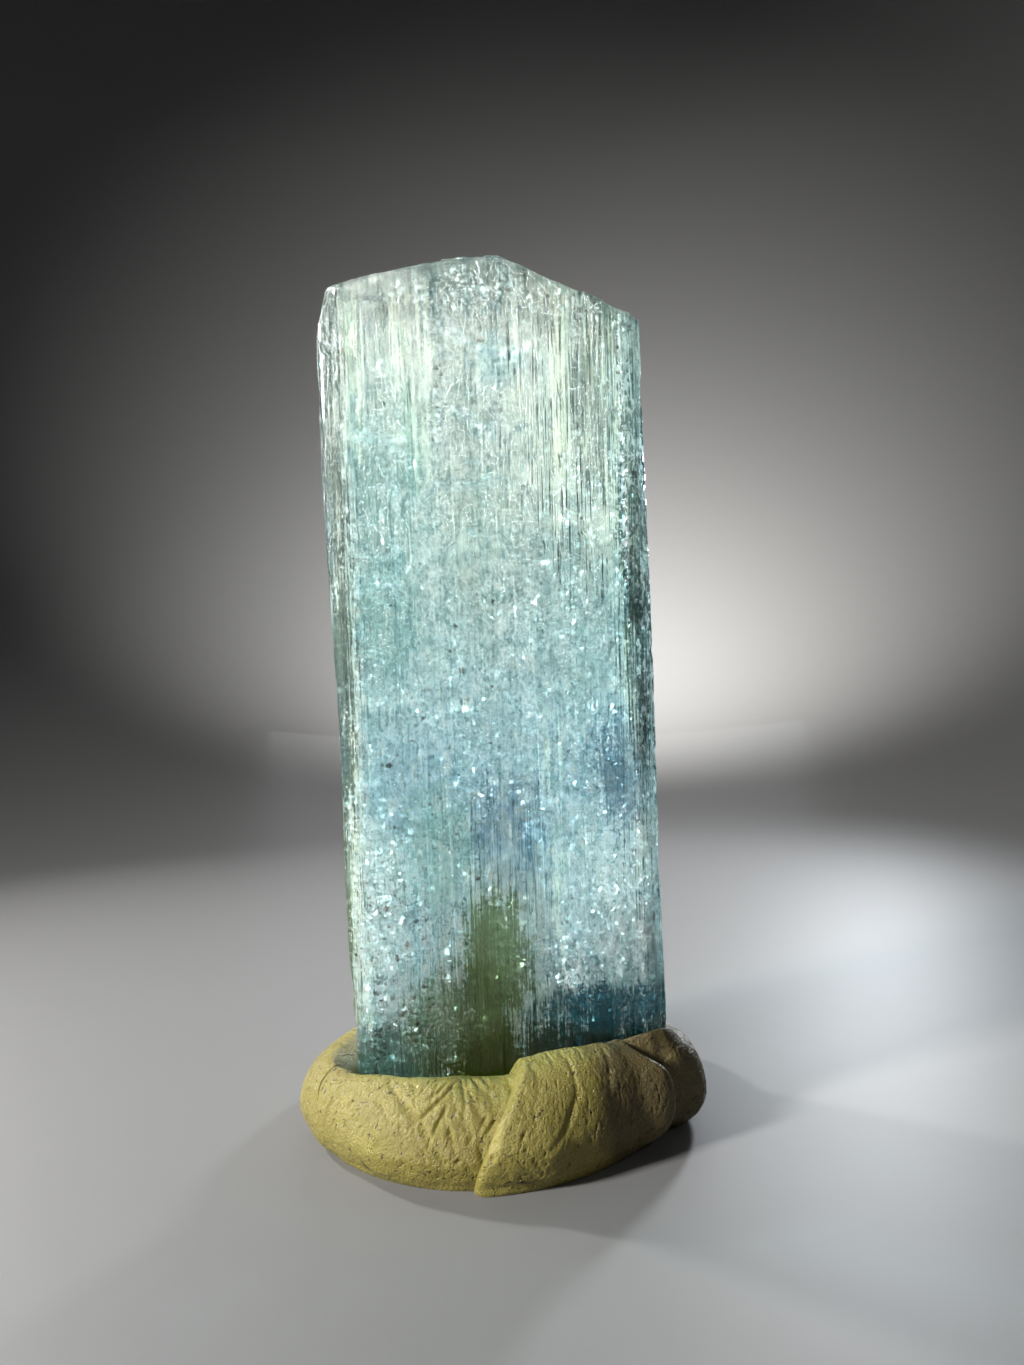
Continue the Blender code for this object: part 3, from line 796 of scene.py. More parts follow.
# Pits: direction, turn, depth, width
pits = (
    (-98.5, 0.53, 0.22, 0.14), (-96, 0.55, 0.24, 0.15), (-97, 0.57, 0.14, 0.12),
    (-104, 0.69, 0.18, 0.12), (-107, 0.70, 0.10, 0.10), (-101.5, 0.60, 0.10, 0.11),
    (-99.5, 0.57, 0.10, 0.10), (-125, 0.66, 0.06, 0.12), (-95, 0.64, 0.14, 0.16),
    (-95.5, 0.70, 0.10, 0.14), (-88, 0.62, 0.08, 0.09), (-70, 0.70, 0.08, 0.10),
)


def creaseDepth(degrees, turn):
    # The deepest of the creases at each place: a rounded groove round each line, deepest
    # in its middle, and round dents at the pits
    ring, skin = np.radians(1.0) * 10.0, 8.2
    deep = np.zeros(np.broadcast(degrees, turn).shape)
    for depth, width, line in creases:
        count = len(line) - 1
        for index in range(count):
            begin = np.array(line[index]) * (ring, skin)
            step = np.array(line[index + 1]) * (ring, skin) - begin
            dx, dy = degrees * ring - begin[0], turn * skin - begin[1]
            share = np.clip((dx * step[0] + dy * step[1]) / (step @ step), 0.0, 1.0)
            away = np.hypot(dx - share * step[0], dy - share * step[1])
            along = (index + share) / count
            taper = np.sin(np.pi * (0.12 + 0.76 * along))
            deep = np.maximum(deep, depth * taper * np.exp(-((away / (0.9 * width)) ** 2)))
    for angle, at, depth, width in pits:
        away = np.hypot((degrees - angle) * ring, (turn - at) * skin)
        deep = np.maximum(deep, depth * np.exp(-((away / width) ** 2)))
    return deep


def skinRelief(degrees, turn):
    # Hand-rolled skin: low swells, an orange-peel grain, thin wrinkles that run down and to
    # the left where the noise crosses zero, and scattered pores
    along, across = degrees * np.radians(10.0), turn * 8.2
    relief = 0.035 * fractalNoise(along / 1.1 + 90, across / 1.4, 67, 2)
    relief = relief + 0.011 * fractalNoise(along / 0.34 + 90, across / 0.34, 61, 3)
    slanted, steep = 0.8 * along - 0.6 * across, 0.6 * along + 0.8 * across
    thin = 1.0 - np.abs(fractalNoise(slanted / 0.42 + 50, steep / 1.5 + 50, 79, 2)) / 0.20
    busy = smoothStep((latticeNoise(along / 2.1 + 50, across / 1.7 + 9, 85) + 0.35) / 0.7)
    folded = 0.22 + 0.78 * np.exp(-(((degrees + 108.0) / 17.0) ** 2) - ((turn - 0.46) / 0.17) ** 2)
    relief = relief - 0.100 * np.clip(thin, 0.0, 1.0) * (0.3 + 0.7 * busy) * folded
    finer = 1.0 - np.abs(fractalNoise(steep / 0.26 + 150, slanted / 1.1 + 150, 97, 2)) / 0.16
    relief = relief - 0.038 * np.clip(finer, 0.0, 1.0) * (0.35 + 0.65 * smoothStep((degrees + 80.0) / 15.0))
    pores = latticeNoise(along / 0.13 + 300, across / 0.13, 73)
    return relief - 0.07 * smoothStep((pores - 0.70) / 0.2) - 0.06


def puttyPoint(base, turn, stand=0.0):
    # The ring's skin at a direction and a turn. The section is slanted and raised on the
    # loose end, then lumps, creases and fine skin detail move it along its own normal.
    _, height, _, crest = sectionAt(base, turn)
    up = np.clip(height / crest, 0.0, 1.0)
    degrees = shearedTo(base, up)
    out, height, wide, crest = sectionAt(degrees, turn)
    across = out / wide
    top = smoothStep(across / 0.30) * smoothStep(up / 0.10) * (turn < 1.0)
    flap = flapShare(degrees, up) * (turn < 1.0)
    out = out + flap * putty["flapBulge"] * smoothStep(across / 0.7)
    ending = 1.0 - 0.48 * smoothStep((degrees + 59.0) / 13.0)
    lift = putty["flapLift"] * ending * (0.45 + 0.55 * smoothStep(across / 0.35))
    height = height * (1.0 + flap * lift / crest)
    angle, share, reach, width, depth = putty["hollow"]
    away = ((degrees - angle) / reach) ** 2 + ((across - share) / width) ** 2
    height = height - depth * np.exp(-away) * smoothStep(2.0 * up - 1.0) * (turn < 1.0)
    turned = np.radians(degrees)
    lump = np.sin(9.0 * turned + 1.0) + 0.7 * np.sin(17.0 * turned + 4.0 * up) + 0.5 * np.sin(31.0 * turned)
    raised = putty["lumps"] * (lump / 2.2 - 0.5) + skinRelief(degrees, turn)
    raised = top * (raised - creaseDepth(degrees, turn))
    raised = raised + stand
    sideways = np.clip(across * 1.6 - 0.5, 0.0, 1.0)
    radius = wallDistance(degrees, height) + out + raised * sideways
    flat = radius[..., None] * unit(degrees)
    return np.concatenate([flat, (height + raised * (1.0 - sideways))[..., None]], axis=-1)


def buildPutty(material):
    # A closed grid: directions round the ring, and turns across the roll
    skin = np.linspace(0.0, 1.0, putty["curve"], endpoint=False)
    under = np.linspace(1.0, 2.0, putty["under"], endpoint=False)
    wall = np.linspace(2.0, 3.0, putty["wall"], endpoint=False)
    turn = np.concatenate([skin, under, wall])
    shares = np.linspace(0.0, 1.0, putty["around"], endpoint=False)
    base = np.interp(shares, *np.array(putty["spacing"]).T)
    angles, turns = np.meshgrid(base, turn, indexing="ij")
    points = puttyPoint(angles, turns)
    around, across = points.shape[:2]
    faces = gridFaces(around + 1, across, True) % (around * across)
    piece = addPiece("puttyRing", points.reshape(-1, 3), faces[:, ::-1].tolist(), material, 60.0)
    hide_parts("mounting_putty")
    return piece


def buildLint(material):
    # Short curved fibres stuck on the putty: a thin three-sided tube along each line
    lines = (
        ((-150.8, 0.38), (-151.5, 0.33), (-152.6, 0.29), (-153.8, 0.26)),
        ((-150.5, 0.36), (-150.6, 0.43), (-150.2, 0.50), (-148.6, 0.57)),
        ((-159.0, 0.30), (-162.0, 0.27), (-165.5, 0.25), (-167.0, 0.22)),
        ((-145.0, 0.34), (-146.5, 0.29), (-149.0, 0.26), (-150.0, 0.24)),
        ((-131.0, 0.80), (-129.8, 0.84), (-128.6, 0.86), (-127.5, 0.88)),
        ((-88.0, 0.86), (-86.0, 0.87), (-84.0, 0.88), (-82.5, 0.86)),
    )
    share = np.linspace(0.0, 1.0, 22)
    ring = unit(np.array([0.0, 120.0, 240.0]))
    points, faces = [], []
    for number, line in enumerate(lines):
        path = curveThrough(np.array(line), share)
        middle = puttyPoint(path[:, 0], path[:, 1], 0.03)
        along = np.gradient(middle, axis=0)
        along = along / np.linalg.norm(along, axis=-1, keepdims=True)
        outward = np.column_stack([unit(path[:, 0]), np.full(len(path), 0.6)])
        side = np.cross(along, outward)
        side = side / np.linalg.norm(side, axis=-1, keepdims=True)
        rise = np.cross(side, along)
        thick = 0.020 * np.sin(np.pi * (0.1 + 0.8 * share))[:, None, None]
        around = side[:, None] * ring[None, :, :1] + rise[:, None] * ring[None, :, 1:]
        tube = middle[:, None] + thick * around
        faces.append(gridFaces(len(share), 3, True) + len(share) * 3 * number)
        points.append(tube.reshape(-1, 3))
    return addPiece("puttyLint", np.vstack(points), np.vstack(faces).tolist(), material, 60.0)


# Materials


def streakGroup():
    # Growth streaks along the crystal: a mask of fine upright lines broken up with height,
    # and a height for bumps. Used by the crystal and by what is inside it.
    group = bpy.data.node_groups.new("growthStreaks", "ShaderNodeTree")
    group.interface.new_socket("Place", in_out="INPUT", socket_type="NodeSocketVector")
    group.interface.new_socket("Fineness", in_out="INPUT", socket_type="NodeSocketFloat")
    group.interface.new_socket("Mask", in_out="OUTPUT", socket_type="NodeSocketFloat")
    group.interface.new_socket("Relief", in_out="OUTPUT", socket_type="NodeSocketFloat")
    given = group.nodes.new("NodeGroupInput")
    result = group.nodes.new("NodeGroupOutput")
    stretched = addNode(group, "ShaderNodeVectorMath", {0: given.outputs[0], 1: (12.0, 12.0, 0.20)},
                        operation="MULTIPLY").outputs[0]
    lines = addNoise(group, stretched, 1.0, 4.0, 0.65)
    group.links.new(given.outputs[1], lines.node.inputs["Scale"])
    patches = addNoise(group, given.outputs[0], 0.55, 3.0, 0.6)
    broken = addMath(group, "MULTIPLY", lines, addMath(group, "ADD", patches, 0.35))
    sharp = addMath(group, "SMOOTH_MIN", 1.0, addMath(group, "MULTIPLY", broken, 1.55), 0.1)
    group.links.new(sharp, result.inputs[0])
    group.links.new(lines, result.inputs[1])
    return group


def aquamarineMaterial(streaks):
    look = {
        "ior": 1.577,
        "transmission": 0.86,
        "absorption": (0.58, 0.86, 0.93),
        "density": 30.0,
        # height, colour
        "zones": (
            (0.0, (0.30, 0.45, 0.36)), (5.5, (0.56, 0.74, 0.76)), (9.5, (0.80, 0.93, 1.00)),
            (17.0, (0.66, 0.83, 0.95)), (24.0, (0.64, 0.76, 0.78)), (33.0, (0.65, 0.69, 0.63)),
            (43.5, (0.73, 0.70, 0.64)),
        ),
        # pale patches, two of them painted glints: middle, reach, colour, strength
        "patches": (
            ((-5.2, 0.0, 34.5), (2.6, 30.0, 4.6), (0.46, 0.62, 0.59), 0.80),
            ((-5.2, 0.0, 26.5), (2.2, 30.0, 3.4), (0.43, 0.63, 0.63), 0.80),
            ((-0.4, 0.0, 31.0), (3.0, 30.0, 7.0), (0.62, 0.66, 0.61), 0.75),
            ((0.6, 0.0, 38.4), (1.6, 30.0, 1.4), (0.54, 0.79, 0.82), 0.70),
            # painted glints: near-white patches low on the right and the left, where inner reflections
            # sparkle
            ((6.1, 0.0, 13.0), (2.6, 30.0, 6.0), (0.93, 0.98, 1.00), 0.90),
            ((-6.0, 0.0, 11.0), (1.9, 30.0, 5.5), (0.94, 1.00, 1.00), 0.90),
            ((-2.8, 0.0, 14.5), (2.2, 30.0, 3.6), (0.56, 0.76, 0.72), 0.70),
            ((0.6, 0.0, 15.2), (1.8, 30.0, 3.2), (0.27, 0.46, 0.70), 0.85),
        ),
        # dark patches, over the streaks and the grain, painted shade among them
        "shades": (
            ((6.5, 0.0, 18.4), (1.8, 30.0, 3.6), (0.10, 0.18, 0.27), 0.66),
            # painted shade: dark bands down the right and the left edge
            ((7.5, 0.0, 29.0), (1.5, 30.0, 12.5), (0.06, 0.12, 0.12), 0.85),
            ((-7.8, 0.0, 25.5), (1.15, 30.0, 20.5), (0.08, 0.11, 0.10), 0.88),
            ((5.4, 0.0, 37.6), (1.6, 30.0, 5.2), (0.14, 0.18, 0.16), 0.62),
            # painted shade: the dark foot on the right, where shadowed putty shows through
            ((4.6, 0.0, 2.4), (6.0, 30.0, 5.4), (0.00, 0.07, 0.08), 0.98),
            ((5.6, 0.0, 6.6), (3.8, 30.0, 1.3), (0.01, 0.17, 0.24), 0.90),
            ((-5.4, 0.0, 3.0), (2.8, 30.0, 3.4), (0.12, 0.22, 0.18), 0.78),
            ((-0.9, 0.0, 5.4), (1.9, 30.0, 4.2), (0.14, 0.17, 0.03), 0.94),
            ((-0.2, 0.0, 9.0), (1.9, 30.0, 4.0), (0.21, 0.26, 0.09), 0.86),
            ((-2.8, 0.0, 5.4), (2.4, 30.0, 3.2), (0.24, 0.33, 0.17), 0.70),
            ((-0.5, 0.0, 2.6), (3.2, 30.0, 2.6), (0.15, 0.17, 0.01), 0.95),
            ((-7.9, 0.0, 8.0), (0.8, 30.0, 11.0), (0.52, 0.56, 0.33), 0.50),
        ),
        # where the painted white glints are dense, and where there are next to none: middle, reach
        "sparkling": (
            ((7.8, 0.0, 28.0), (0.8, 30.0, 11.0)), ((6.6, 0.0, 11.5), (1.7, 30.0, 5.5)),
            ((-6.5, 0.0, 10.0), (1.2, 30.0, 5.0)), ((3.6, 0.0, 9.5), (1.6, 30.0, 2.6)),
            ((6.8, 0.0, 33.0), (0.9, 30.0, 6.0)),
        ),
        "calm": (((2.5, 0.0, 3.4), (6.2, 30.0, 4.6)), ((0.0, 0.0, 8.8), (2.0, 30.0, 4.8))),
        # where the streaks are strong: middle, reach, strength
        "streaked": (
            ((4.8, 0.0, 37.0), (3.8, 30.0, 9.5), 1.00), ((-7.6, 0.0, 23.0), (1.3, 30.0, 24.0), 0.90),
            ((7.3, 0.0, 26.0), (1.5, 30.0, 19.0), 0.80), ((-4.6, 0.0, 39.0), (3.0, 30.0, 5.0), 0.45),
            ((0.6, 0.0, 10.0), (2.6, 30.0, 8.5), 0.45),
        ),
    }
    material, tree, shader = newMaterial("aquamarine")
    output = shader.outputs[0].links[0].to_node
    place = placeIn(tree, (1.0, 1.0, 1.0))
    parts = addNode(tree, "ShaderNodeSeparateXYZ", {0: place}).outputs
    drift = addNoise(tree, placeIn(tree, (0.35, 0.35, 0.10)), 1.0, 5.0, 0.6)
    shifted = addMath(tree, "MULTIPLY", addMath(tree, "SUBTRACT", drift, 0.5), 14.0)
    level = addMath(tree, "DIVIDE", addMath(tree, "ADD", parts[2], shifted), 43.5)
    colour = addRamp(tree, level, [(height / 43.5, shade) for height, shade in look["zones"]])
    ragged = addNoise(tree, placeIn(tree, (1.3, 1.3, 0.5)), 1.0, 8.0, 0.72)
    ragged = addMath(tree, "MULTIPLY", addMath(tree, "SUBTRACT", ragged, 0.5), 1.1)
    grains = addNoise(tree, placeIn(tree, (6.2, 6.2, 4.6)), 1.0, 4.0, 0.75)
    frayed = addMath(tree, "MULTIPLY", addMath(tree, "SUBTRACT", grains, 0.5), 1.3)
    ragged = addMath(tree, "ADD", ragged, frayed)
    group = addNode(tree, "ShaderNodeGroup", {}, node_tree=streaks)
    tree.links.new(place, group.inputs["Place"])
    group.inputs["Fineness"].default_value = 1.0
    combed = addMath(tree, "MULTIPLY", addMath(tree, "SUBTRACT", group.outputs["Relief"], 0.5), 1.6)
    ragged = addMath(tree, "ADD", ragged, combed)
    # pale patches, painted glints among them
    for middle, reach, shade, strength in look["patches"]:
        mask = patchMask(tree, place, middle, reach, ragged)
        colour = addMix(tree, addMath(tree, "MULTIPLY", mask, strength), colour, (*shade, 1.0))

    # clouded growth, then grain, in dark and pale
    mottle = addNoise(tree, placeIn(tree, (1.9, 1.9, 1.3)), 1.0, 8.0, 0.74, 0.5)
    dim = addMath(tree, "MULTIPLY", addRampValue(tree, mottle, 0.51, 0.41), 0.66)
    colour = addMix(tree, dim, colour, (0.25, 0.42, 0.44, 1.0))
    clear = addMath(tree, "MULTIPLY", addRampValue(tree, mottle, 0.53, 0.60), 0.78)
    colour = addMix(tree, clear, colour, (0.97, 0.97, 0.93, 1.0))
    specks = addMath(tree, "MULTIPLY", addRampValue(tree, grains, 0.46, 0.38), 0.80)
    colour = addMix(tree, specks, colour, (0.14, 0.24, 0.24, 1.0))

    # streaks, strong in their own zones and weak elsewhere
    strong = 0.18
    for middle, reach, share in look["streaked"]:
        mask = addMath(tree, "MULTIPLY", patchMask(tree, place, middle, reach, ragged), share)
        strong = addMath(tree, "MAXIMUM", strong, mask)
    dark = addMath(tree, "MULTIPLY", addRampValue(tree, group.outputs["Relief"], 0.475, 0.40), strong)
    colour = addMix(tree, dark, colour, (0.04, 0.07, 0.07, 1.0))
    pale = addMath(tree, "MULTIPLY", addRampValue(tree, group.outputs["Mask"], 0.50, 0.68), strong)
    colour = addMix(tree, pale, colour, (1.0, 0.98, 0.88, 1.0))
    # dark patches, painted shade on the edges and the foot among them
    for middle, reach, shade, strength in look["shades"]:
        mask = patchMask(tree, place, middle, reach, ragged)
        colour = addMix(tree, addMath(tree, "MULTIPLY", mask, strength), colour, (*shade, 1.0))
    # painted glints: white specks in patchy clusters, and white blobs where they are dense
    clusters = addNoise(tree, placeIn(tree, (0.42, 0.42, 0.26)), 1.0, 4.0, 0.65)
    clusters = addRampValue(tree, clusters, 0.42, 0.60)
    dense = 0.0
    for middle, reach in look["sparkling"]:
        dense = addMath(tree, "MAXIMUM", dense, patchMask(tree, place, middle, reach, ragged))
    for middle, reach in look["calm"]:
        still = addMath(tree, "SUBTRACT", 1.0, patchMask(tree, place, middle, reach, ragged))
        clusters = addMath(tree, "MULTIPLY", clusters, still)
    glitter = addMath(tree, "MULTIPLY", addRampValue(tree, grains, 0.545, 0.60), clusters)
    colour = addMix(tree, glitter, colour, (1.0, 1.0, 1.0, 1.0))
    blobs = addNoise(tree, placeIn(tree, (4.2, 4.2, 2.6)), 1.0, 3.0, 0.6, 0.4)
    blobs = addMath(tree, "MULTIPLY", addRampValue(tree, blobs, 0.535, 0.575), dense)
    colour = addMix(tree, blobs, colour, (1.0, 1.0, 1.0, 1.0))
    edged = addMath(tree, "MULTIPLY", addRampValue(tree, group.outputs["Relief"], 0.53, 0.60), strong)
    edged = addMath(tree, "MULTIPLY", edged, addRampValue(tree, clusters, 0.0, 0.4))
    colour = addMix(tree, edged, colour, (0.97, 0.99, 0.93, 1.0))

    etched = addNoise(tree, placeIn(tree, (2.6, 2.6, 1.3)), 1.0, 5.0, 0.65)
    rough = addNode(tree, "ShaderNodeMapRange", {0: etched, 1: 0.40, 2: 0.72, 3: 0.02, 4: 0.16}).outputs[0]
    relief = addMath(tree, "ADD", group.outputs["Relief"], etched)
    relief = addMath(tree, "ADD", relief, addMath(tree, "MULTIPLY", grains, 0.5))
    bump = addNode(tree, "ShaderNodeBump", {"Strength": 0.7, "Distance": 0.00010, "Height": relief})
    deepened = addNode(tree, "ShaderNodeGamma", {0: colour, 1: 1.8}).outputs[0]
    tree.links.new(deepened, shader.inputs["Base Color"])
    tree.links.new(rough, shader.inputs["Roughness"])
    tree.links.new(bump.outputs[0], shader.inputs["Normal"])
    shader.inputs["IOR"].default_value = look["ior"]
    shader.inputs["Transmission Weight"].default_value = look["transmission"]
    # the crystal's shadow, denser low on the right
    toRight, low = addRampValue(tree, parts[0], 2.0, 6.0), addRampValue(tree, parts[2], 14.0, 9.0)
    denser = addMath(tree, "MULTIPLY", toRight, low)
    shadow = addMix(tree, denser, (0.72, 0.90, 0.93, 1.0), (0.10, 0.14, 0.14, 1.0))
    clear = addNode(tree, "ShaderNodeBsdfTransparent", {"Color": shadow})
    path = addNode(tree, "ShaderNodeLightPath")
    mixed = addNode(tree, "ShaderNodeMixShader", {0: path.outputs["Is Shadow Ray"]})
    tree.links.new(shader.outputs[0], mixed.inputs[1])
    tree.links.new(clear.outputs[0], mixed.inputs[2])
    tree.links.new(mixed.outputs[0], output.inputs["Surface"])
    absorbed = {"Color": (*look["absorption"], 1.0), "Density": look["density"]}
    volume = addNode(tree, "ShaderNodeVolumeAbsorption", absorbed)
    tree.links.new(volume.outputs[0], output.inputs["Volume"])
    return material


def inclusionMaterial(name, streaks, dark, bright, roughness, metallic):
    # Plates and tubes inside the crystal: pale where the streaks are thick
    material, tree, shader = newMaterial(name)
    group = addNode(tree, "ShaderNodeGroup", {}, node_tree=streaks)
    tree.links.new(placeIn(tree, (1.0, 1.0, 1.0)), group.inputs["Place"])
    group.inputs["Fineness"].default_value = 1.6
    colour = addMix(tree, addRampValue(tree, group.outputs["Mask"], 0.25, 0.70), dark, bright)
    tree.links.new(colour, shader.inputs["Base Color"])
    shader.inputs["Roughness"].default_value = roughness
    silvery = addNoise(tree, placeIn(tree, (7.0, 7.0, 5.0)), 1.0, 2.0)
    silvery = addMath(tree, "MULTIPLY", addRampValue(tree, silvery, 0.36, 0.40), metallic)
    tree.links.new(silvery, shader.inputs["Metallic"])
    return material


def puttyMaterial(grit):
    look = {
        "lit": (0.300, 0.258, 0.062),
        "deep": (0.228, 0.190, 0.043),
        "roughness": (0.22, 0.48),
        # painted shade on the right end of the roll, darker and browner where it lies in shadow: middle,
        # reach, colour, strength
        "paintedShade": ((8.6, -4.6, 2.6), (6.4, 6.6, 5.4), (0.085, 0.062, 0.030), 0.80),
    }
    material, tree, shader = newMaterial("puttySkin")
    cloudy = addNoise(tree, placeIn(tree, (0.35, 0.35, 0.35)), 1.0, 5.0, 0.6)
    base = addMix(tree, addRampValue(tree, cloudy, 0.30, 0.72), (*look["deep"], 1.0), (*look["lit"], 1.0))
    place = placeIn(tree, (1.0, 1.0, 1.0))
    uneven = addNoise(tree, placeIn(tree, (0.8, 0.8, 0.8)), 1.0, 6.0, 0.6)
    uneven = addMath(tree, "MULTIPLY", addMath(tree, "SUBTRACT", uneven, 0.5), 0.5)
    # painted shade: the right end of the roll darkened and browned in its colour
    middle, reach, shade, strength = look["paintedShade"]
    paintedShade = addMath(tree, "MULTIPLY", patchMask(tree, place, middle, reach, uneven), strength)
    base = addMix(tree, paintedShade, base, (*shade, 1.0))
    group = addNode(tree, "ShaderNodeGroup", {}, node_tree=grit)
    tree.links.new(place, group.inputs["Place"])
    group.inputs["Amount"].default_value = 1.0
    specked = addMix(tree, group.outputs["Specks"], base, (0.035, 0.026, 0.016, 1.0))
    fine = addNoise(tree, placeIn(tree, (9.0, 9.0, 9.0)), 1.0, 5.0, 0.6)
    soft = addNoise(tree, placeIn(tree, (2.2, 2.2, 2.2)), 1.0, 4.0, 0.6)
    values = {0: soft, 1: 0.35, 2: 0.68, 3: look["roughness"][0], 4: look["roughness"][1]}
    rough = addNode(tree, "ShaderNodeMapRange", values).outputs[0]
    relief = addMath(tree, "ADD", fine, addMath(tree, "MULTIPLY", soft, 1.4))
    relief = addMath(tree, "SUBTRACT", relief, addMath(tree, "MULTIPLY", group.outputs["Pores"], 0.8))
    bump = addNode(tree, "ShaderNodeBump", {"Strength": 0.9, "Distance": 0.00009, "Height": relief})
    tree.links.new(specked, shader.inputs["Base Color"])
    tree.links.new(rough, shader.inputs["Roughness"])
    tree.links.new(bump.outputs[0], shader.inputs["Normal"])
    shader.inputs["Specular IOR Level"].default_value = 0.45
    return material


def gritGroup():
    # Dark grains and tiny pores, each in its own cell of a Voronoi pattern
    group = bpy.data.node_groups.new("gritAndPores", "ShaderNodeTree")
    group.interface.new_socket("Place", in_out="INPUT", socket_type="NodeSocketVector")
    group.interface.new_socket("Amount", in_out="INPUT", socket_type="NodeSocketFloat")
    group.interface.new_socket("Specks", in_out="OUTPUT", socket_type="NodeSocketFloat")
    group.interface.new_socket("Pores", in_out="OUTPUT", socket_type="NodeSocketFloat")
    given = group.nodes.new("NodeGroupInput")
    result = group.nodes.new("NodeGroupOutput")
    warped = addNoise(group, given.outputs[0], 3.0, 2.0)
    moved = addNode(group, "ShaderNodeVectorMath", {0: given.outputs[0], 1: warped}, operation="ADD")
    moved = moved.outputs[0]
    cells = addNode(group, "ShaderNodeTexVoronoi", {"Vector": moved, "Scale": 3.0, "Randomness": 1.0})
    chosen = addNode(group, "ShaderNodeSeparateColor", {0: cells.outputs["Color"]}).outputs[0]
    chosen = addRampValue(group, chosen, 0.66, 0.70)
    grain = addRampValue(group, cells.outputs["Distance"], 0.30, 0.20)
    specks = addMath(group, "MULTIPLY", addMath(group, "MULTIPLY", grain, chosen), given.outputs[1])
    pores = addNode(group, "ShaderNodeTexVoronoi", {"Vector": moved, "Scale": 4.2, "Randomness": 1.0})
    group.links.new(specks, result.inputs[0])
    group.links.new(addRampValue(group, pores.outputs["Distance"], 0.24, 0.06), result.inputs[1])
    return group


def lintMaterial(grit):
    material, tree, shader = newMaterial("lintFibre")
    group = addNode(tree, "ShaderNodeGroup", {}, node_tree=grit)
    tree.links.new(placeIn(tree, (3.0, 3.0, 3.0)), group.inputs["Place"])
    group.inputs["Amount"].default_value = 1.0
    colour = addMix(tree, group.outputs["Pores"], (0.05, 0.045, 0.03, 1.0), (0.12, 0.10, 0.06, 1.0))
    tree.links.new(colour, shader.inputs["Base Color"])
    shader.inputs["Roughness"].default_value = 0.6
    return material


def speckMaterial(streaks):
    dark, bright = (0.02, 0.018, 0.015, 1.0), (0.07, 0.055, 0.04, 1.0)
    return inclusionMaterial("ironSpeck", streaks, dark, bright, 0.5, 0.0)


# Floor, light and camera

stage = {
    "floorRadius": 75.0,
    "bend": 150.0,
    "wallHeight": 420.0,
    "colour": (0.20, 0.20, 0.202),
}


def buildCard():
    # A dark card to the right, as photographers use, that no camera sees
    corners = [(26.0, -52.0, 0.5), (66.0, 60.0, 0.5), (66.0, 60.0, 80.0), (26.0, -52.0, 80.0)]
    material, tree, shader = newMaterial("darkCard")
    grain = addNoise(tree, placeIn(tree, (0.4, 0.4, 0.4)), 1.0, 4.0)
    colour = addMix(tree, grain, (0.010, 0.010, 0.011, 1.0), (0.020, 0.020, 0.021, 1.0))
    tree.links.new(colour, shader.inputs["Base Color"])
    shader.inputs["Roughness"].default_value = 0.9
    mesh = bpy.data.meshes.new("darkCard")
    mesh.from_pydata([[part * mm for part in corner] for corner in corners], [], [[0, 1, 2, 3]])
    mesh.materials.append(material)
    card = bpy.data.objects.new("darkCard", mesh)
    bpy.context.scene.collection.objects.link(card)
    card.visible_camera = False
    card.visible_shadow = False


def buildBackdrop():
    # A wide bowl: a flat floor that bends up into a round wall, as a turned profile
    bend = np.linspace(0.0, np.pi / 2, 28)[1:]
    outer = stage["floorRadius"] + stage["bend"]
    rising = stage["floorRadius"] + stage["bend"] * np.sin(bend)
    radius = np.concatenate([[0.0, 30.0, stage["floorRadius"]], rising, [outer]])
    height = np.concatenate([np.zeros(3), stage["bend"] * (1 - np.cos(bend)), [stage["wallHeight"]]])
    columns = 128
    ring = unit(np.linspace(0, 360, columns, endpoint=False))
    upright = np.repeat(height[:, None, None], columns, axis=1)
    points = np.concatenate([radius[:, None, None] * ring[None], upright], -1)
    material, tree, shader = newMaterial("paleFloor")
    grain = addNoise(tree, placeIn(tree, (0.4, 0.4, 0.4)), 1.0, 4.0)
    low = tuple(0.97 * part for part in stage["colour"])
    colour = addMix(tree, grain, (*low, 1.0), (*stage["colour"], 1.0))
    tree.links.new(colour, shader.inputs["Base Color"])
    shader.inputs["Roughness"].default_value = 0.55
    mesh = bpy.data.meshes.new("paleBackdrop")
    faces = gridFaces(len(radius), columns, True)[:, ::-1]
    mesh.from_pydata((points.reshape(-1, 3) * mm).tolist(), [], faces.tolist())
    mesh.materials.append(material)
    mesh.shade_smooth()
    bowl = bpy.data.objects.new("paleBackdrop", mesh)
    bpy.context.scene.collection.objects.link(bowl)


def addLamp(name, place, target, size, power, colour, spread=180.0):
    # An area lamp at a place, turned to face a target, both in millimetres
    lamp = bpy.data.lights.new(name, "AREA")
    lamp.shape = "RECTANGLE"
    lamp.size, lamp.size_y = size[0] * mm, size[1] * mm
    lamp.energy = power
    lamp.color = colour
    lamp.spread = np.radians(spread)
    shown = bpy.data.objects.new(name, lamp)
    bpy.context.scene.collection.objects.link(shown)
    shown.location = Vector(place) * mm
    shown.rotation_euler = (Vector(target) - Vector(place)).to_track_quat("-Z", "Y").to_euler()
    shown.visible_camera = False
    return shown


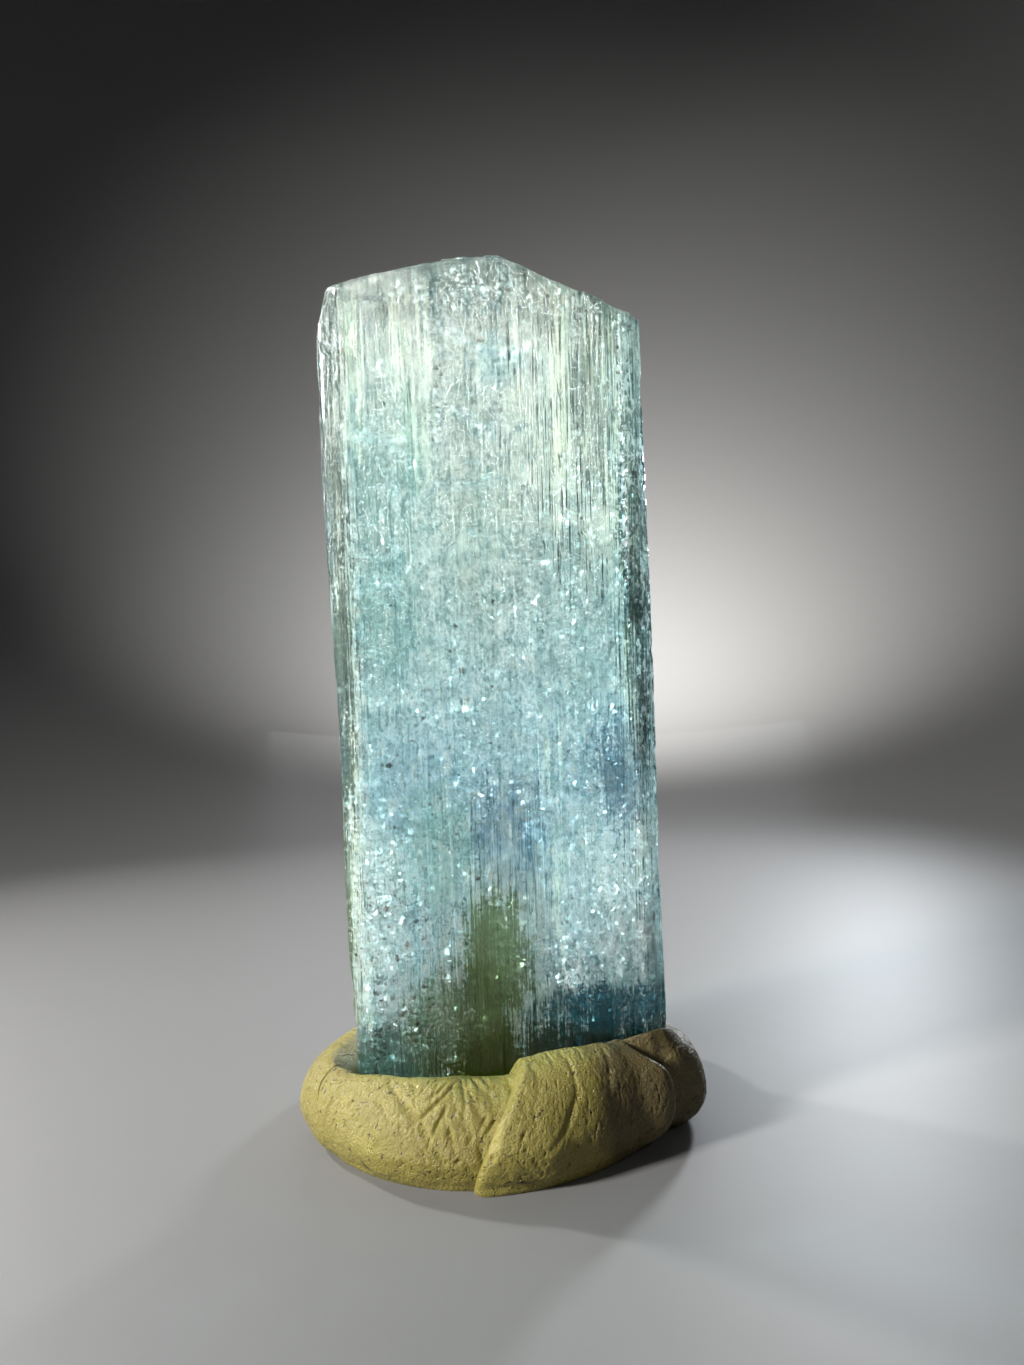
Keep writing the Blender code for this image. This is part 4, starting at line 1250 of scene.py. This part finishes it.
def addCamera():
    # The photograph's own viewpoint: a wide lens close to the crystal
    view = {"eye": (0.35, -56.1, 25.0), "down": 2.47, "roll": 1.4, "focal": 1045.0}
    pitch, roll = np.radians(view["down"]), np.radians(view["roll"])
    forward = np.array([0.0, np.cos(pitch), -np.sin(pitch)])
    level = np.array([1.0, 0.0, 0.0])
    upright = np.cross(level, forward)
    right = np.cos(roll) * level - np.sin(roll) * upright
    upward = np.sin(roll) * level + np.cos(roll) * upright
    lens = bpy.data.cameras.new("photoCamera")
    lens.sensor_width = 36.0
    lens.lens = view["focal"] / 1365.0 * 36.0
    lens.clip_start = 0.001
    lens.clip_end = 10.0
    camera = bpy.data.objects.new("photoCamera", lens)
    bpy.context.scene.collection.objects.link(camera)
    eye = (np.array(view["eye"]) + np.array([*setDown, 0.0])) * mm
    turned = Matrix(np.column_stack([right, upward, -forward]).tolist()).to_4x4()
    camera.matrix_world = Matrix.Translation(Vector(eye)) @ turned
    bpy.context.scene.camera = camera


def lightScene():
    # A soft lamp from the left, a wide panel behind, a glow on the backdrop, three small
    # lamps whose light the chips flash back, and a weak wide one above
    scene = bpy.context.scene
    scene.view_settings.view_transform = "Standard"
    world = bpy.data.worlds.new("softRoom")
    scene.world = world
    world.use_nodes = True
    world.node_tree.nodes["Background"].inputs[0].default_value = (0.80, 0.84, 0.92, 1.0)
    world.node_tree.nodes["Background"].inputs[1].default_value = 0.045
    addLamp("keyLeft", (-146, -84, 92), (0, 0, 19), (26, 32), 0.150, (1.0, 0.98, 0.94), 90.0)
    addLamp("panelBehind", (4, 108, 56), (0, 0, 26), (90, 100), 0.0095, (0.95, 0.97, 1.0), 110.0)
    addLamp("glowBehind", (14, 96, 62), (16, 172, 36), (44, 44), 0.140, (1.0, 0.99, 0.95), 130.0)
    addLamp("sparkLeft", (-95, 62, 66), (0, 0, 16), (8, 8), 0.0285, (1.0, 0.98, 0.95), 80.0)
    addLamp("sparkRight", (58, 104, 52), (0, 0, 16), (10, 20), 0.0205, (0.90, 0.95, 1.0), 80.0)
    addLamp("sparkFront", (70, -120, 120), (0, 0, 22), (7, 7), 0.012, (1.0, 0.98, 0.95))
    addLamp("topSoft", (0, 30, 190), (0, 0, 0), (130, 130), 0.012, (0.96, 0.97, 1.0))


addCamera()
streaks = streakGroup()
grit = gritGroup()
surface, outward = crystalSurface()
buildCrystal(surface, aquamarineMaterial(streaks))
print("crystal built")
plateShades = (0.52, 0.61, 0.65, 1.0), (0.93, 0.97, 0.98, 1.0)
crackPlate = inclusionMaterial("crackPlate", streaks, *plateShades, 0.38, 1.0)
buildTubes(inclusionMaterial("tubeWall", streaks, (0.50, 0.54, 0.46, 1.0), (0.92, 0.91, 0.79, 1.0), 0.3, 0.6))
buildLines(inclusionMaterial("lineWall", streaks, (0.95, 0.85, 0.50, 1.0), (1.0, 0.97, 0.82, 1.0), 0.4, 0.2))
buildFlakes(crackPlate)
buildGlints(surface, outward, crackPlate)
buildSpecks(surface, outward, speckMaterial(streaks))
print("inclusions built")
buildPutty(puttyMaterial(grit))
buildLint(lintMaterial(grit))
print("putty built")
buildBackdrop()
buildCard()
lightScene()
print("stage built")
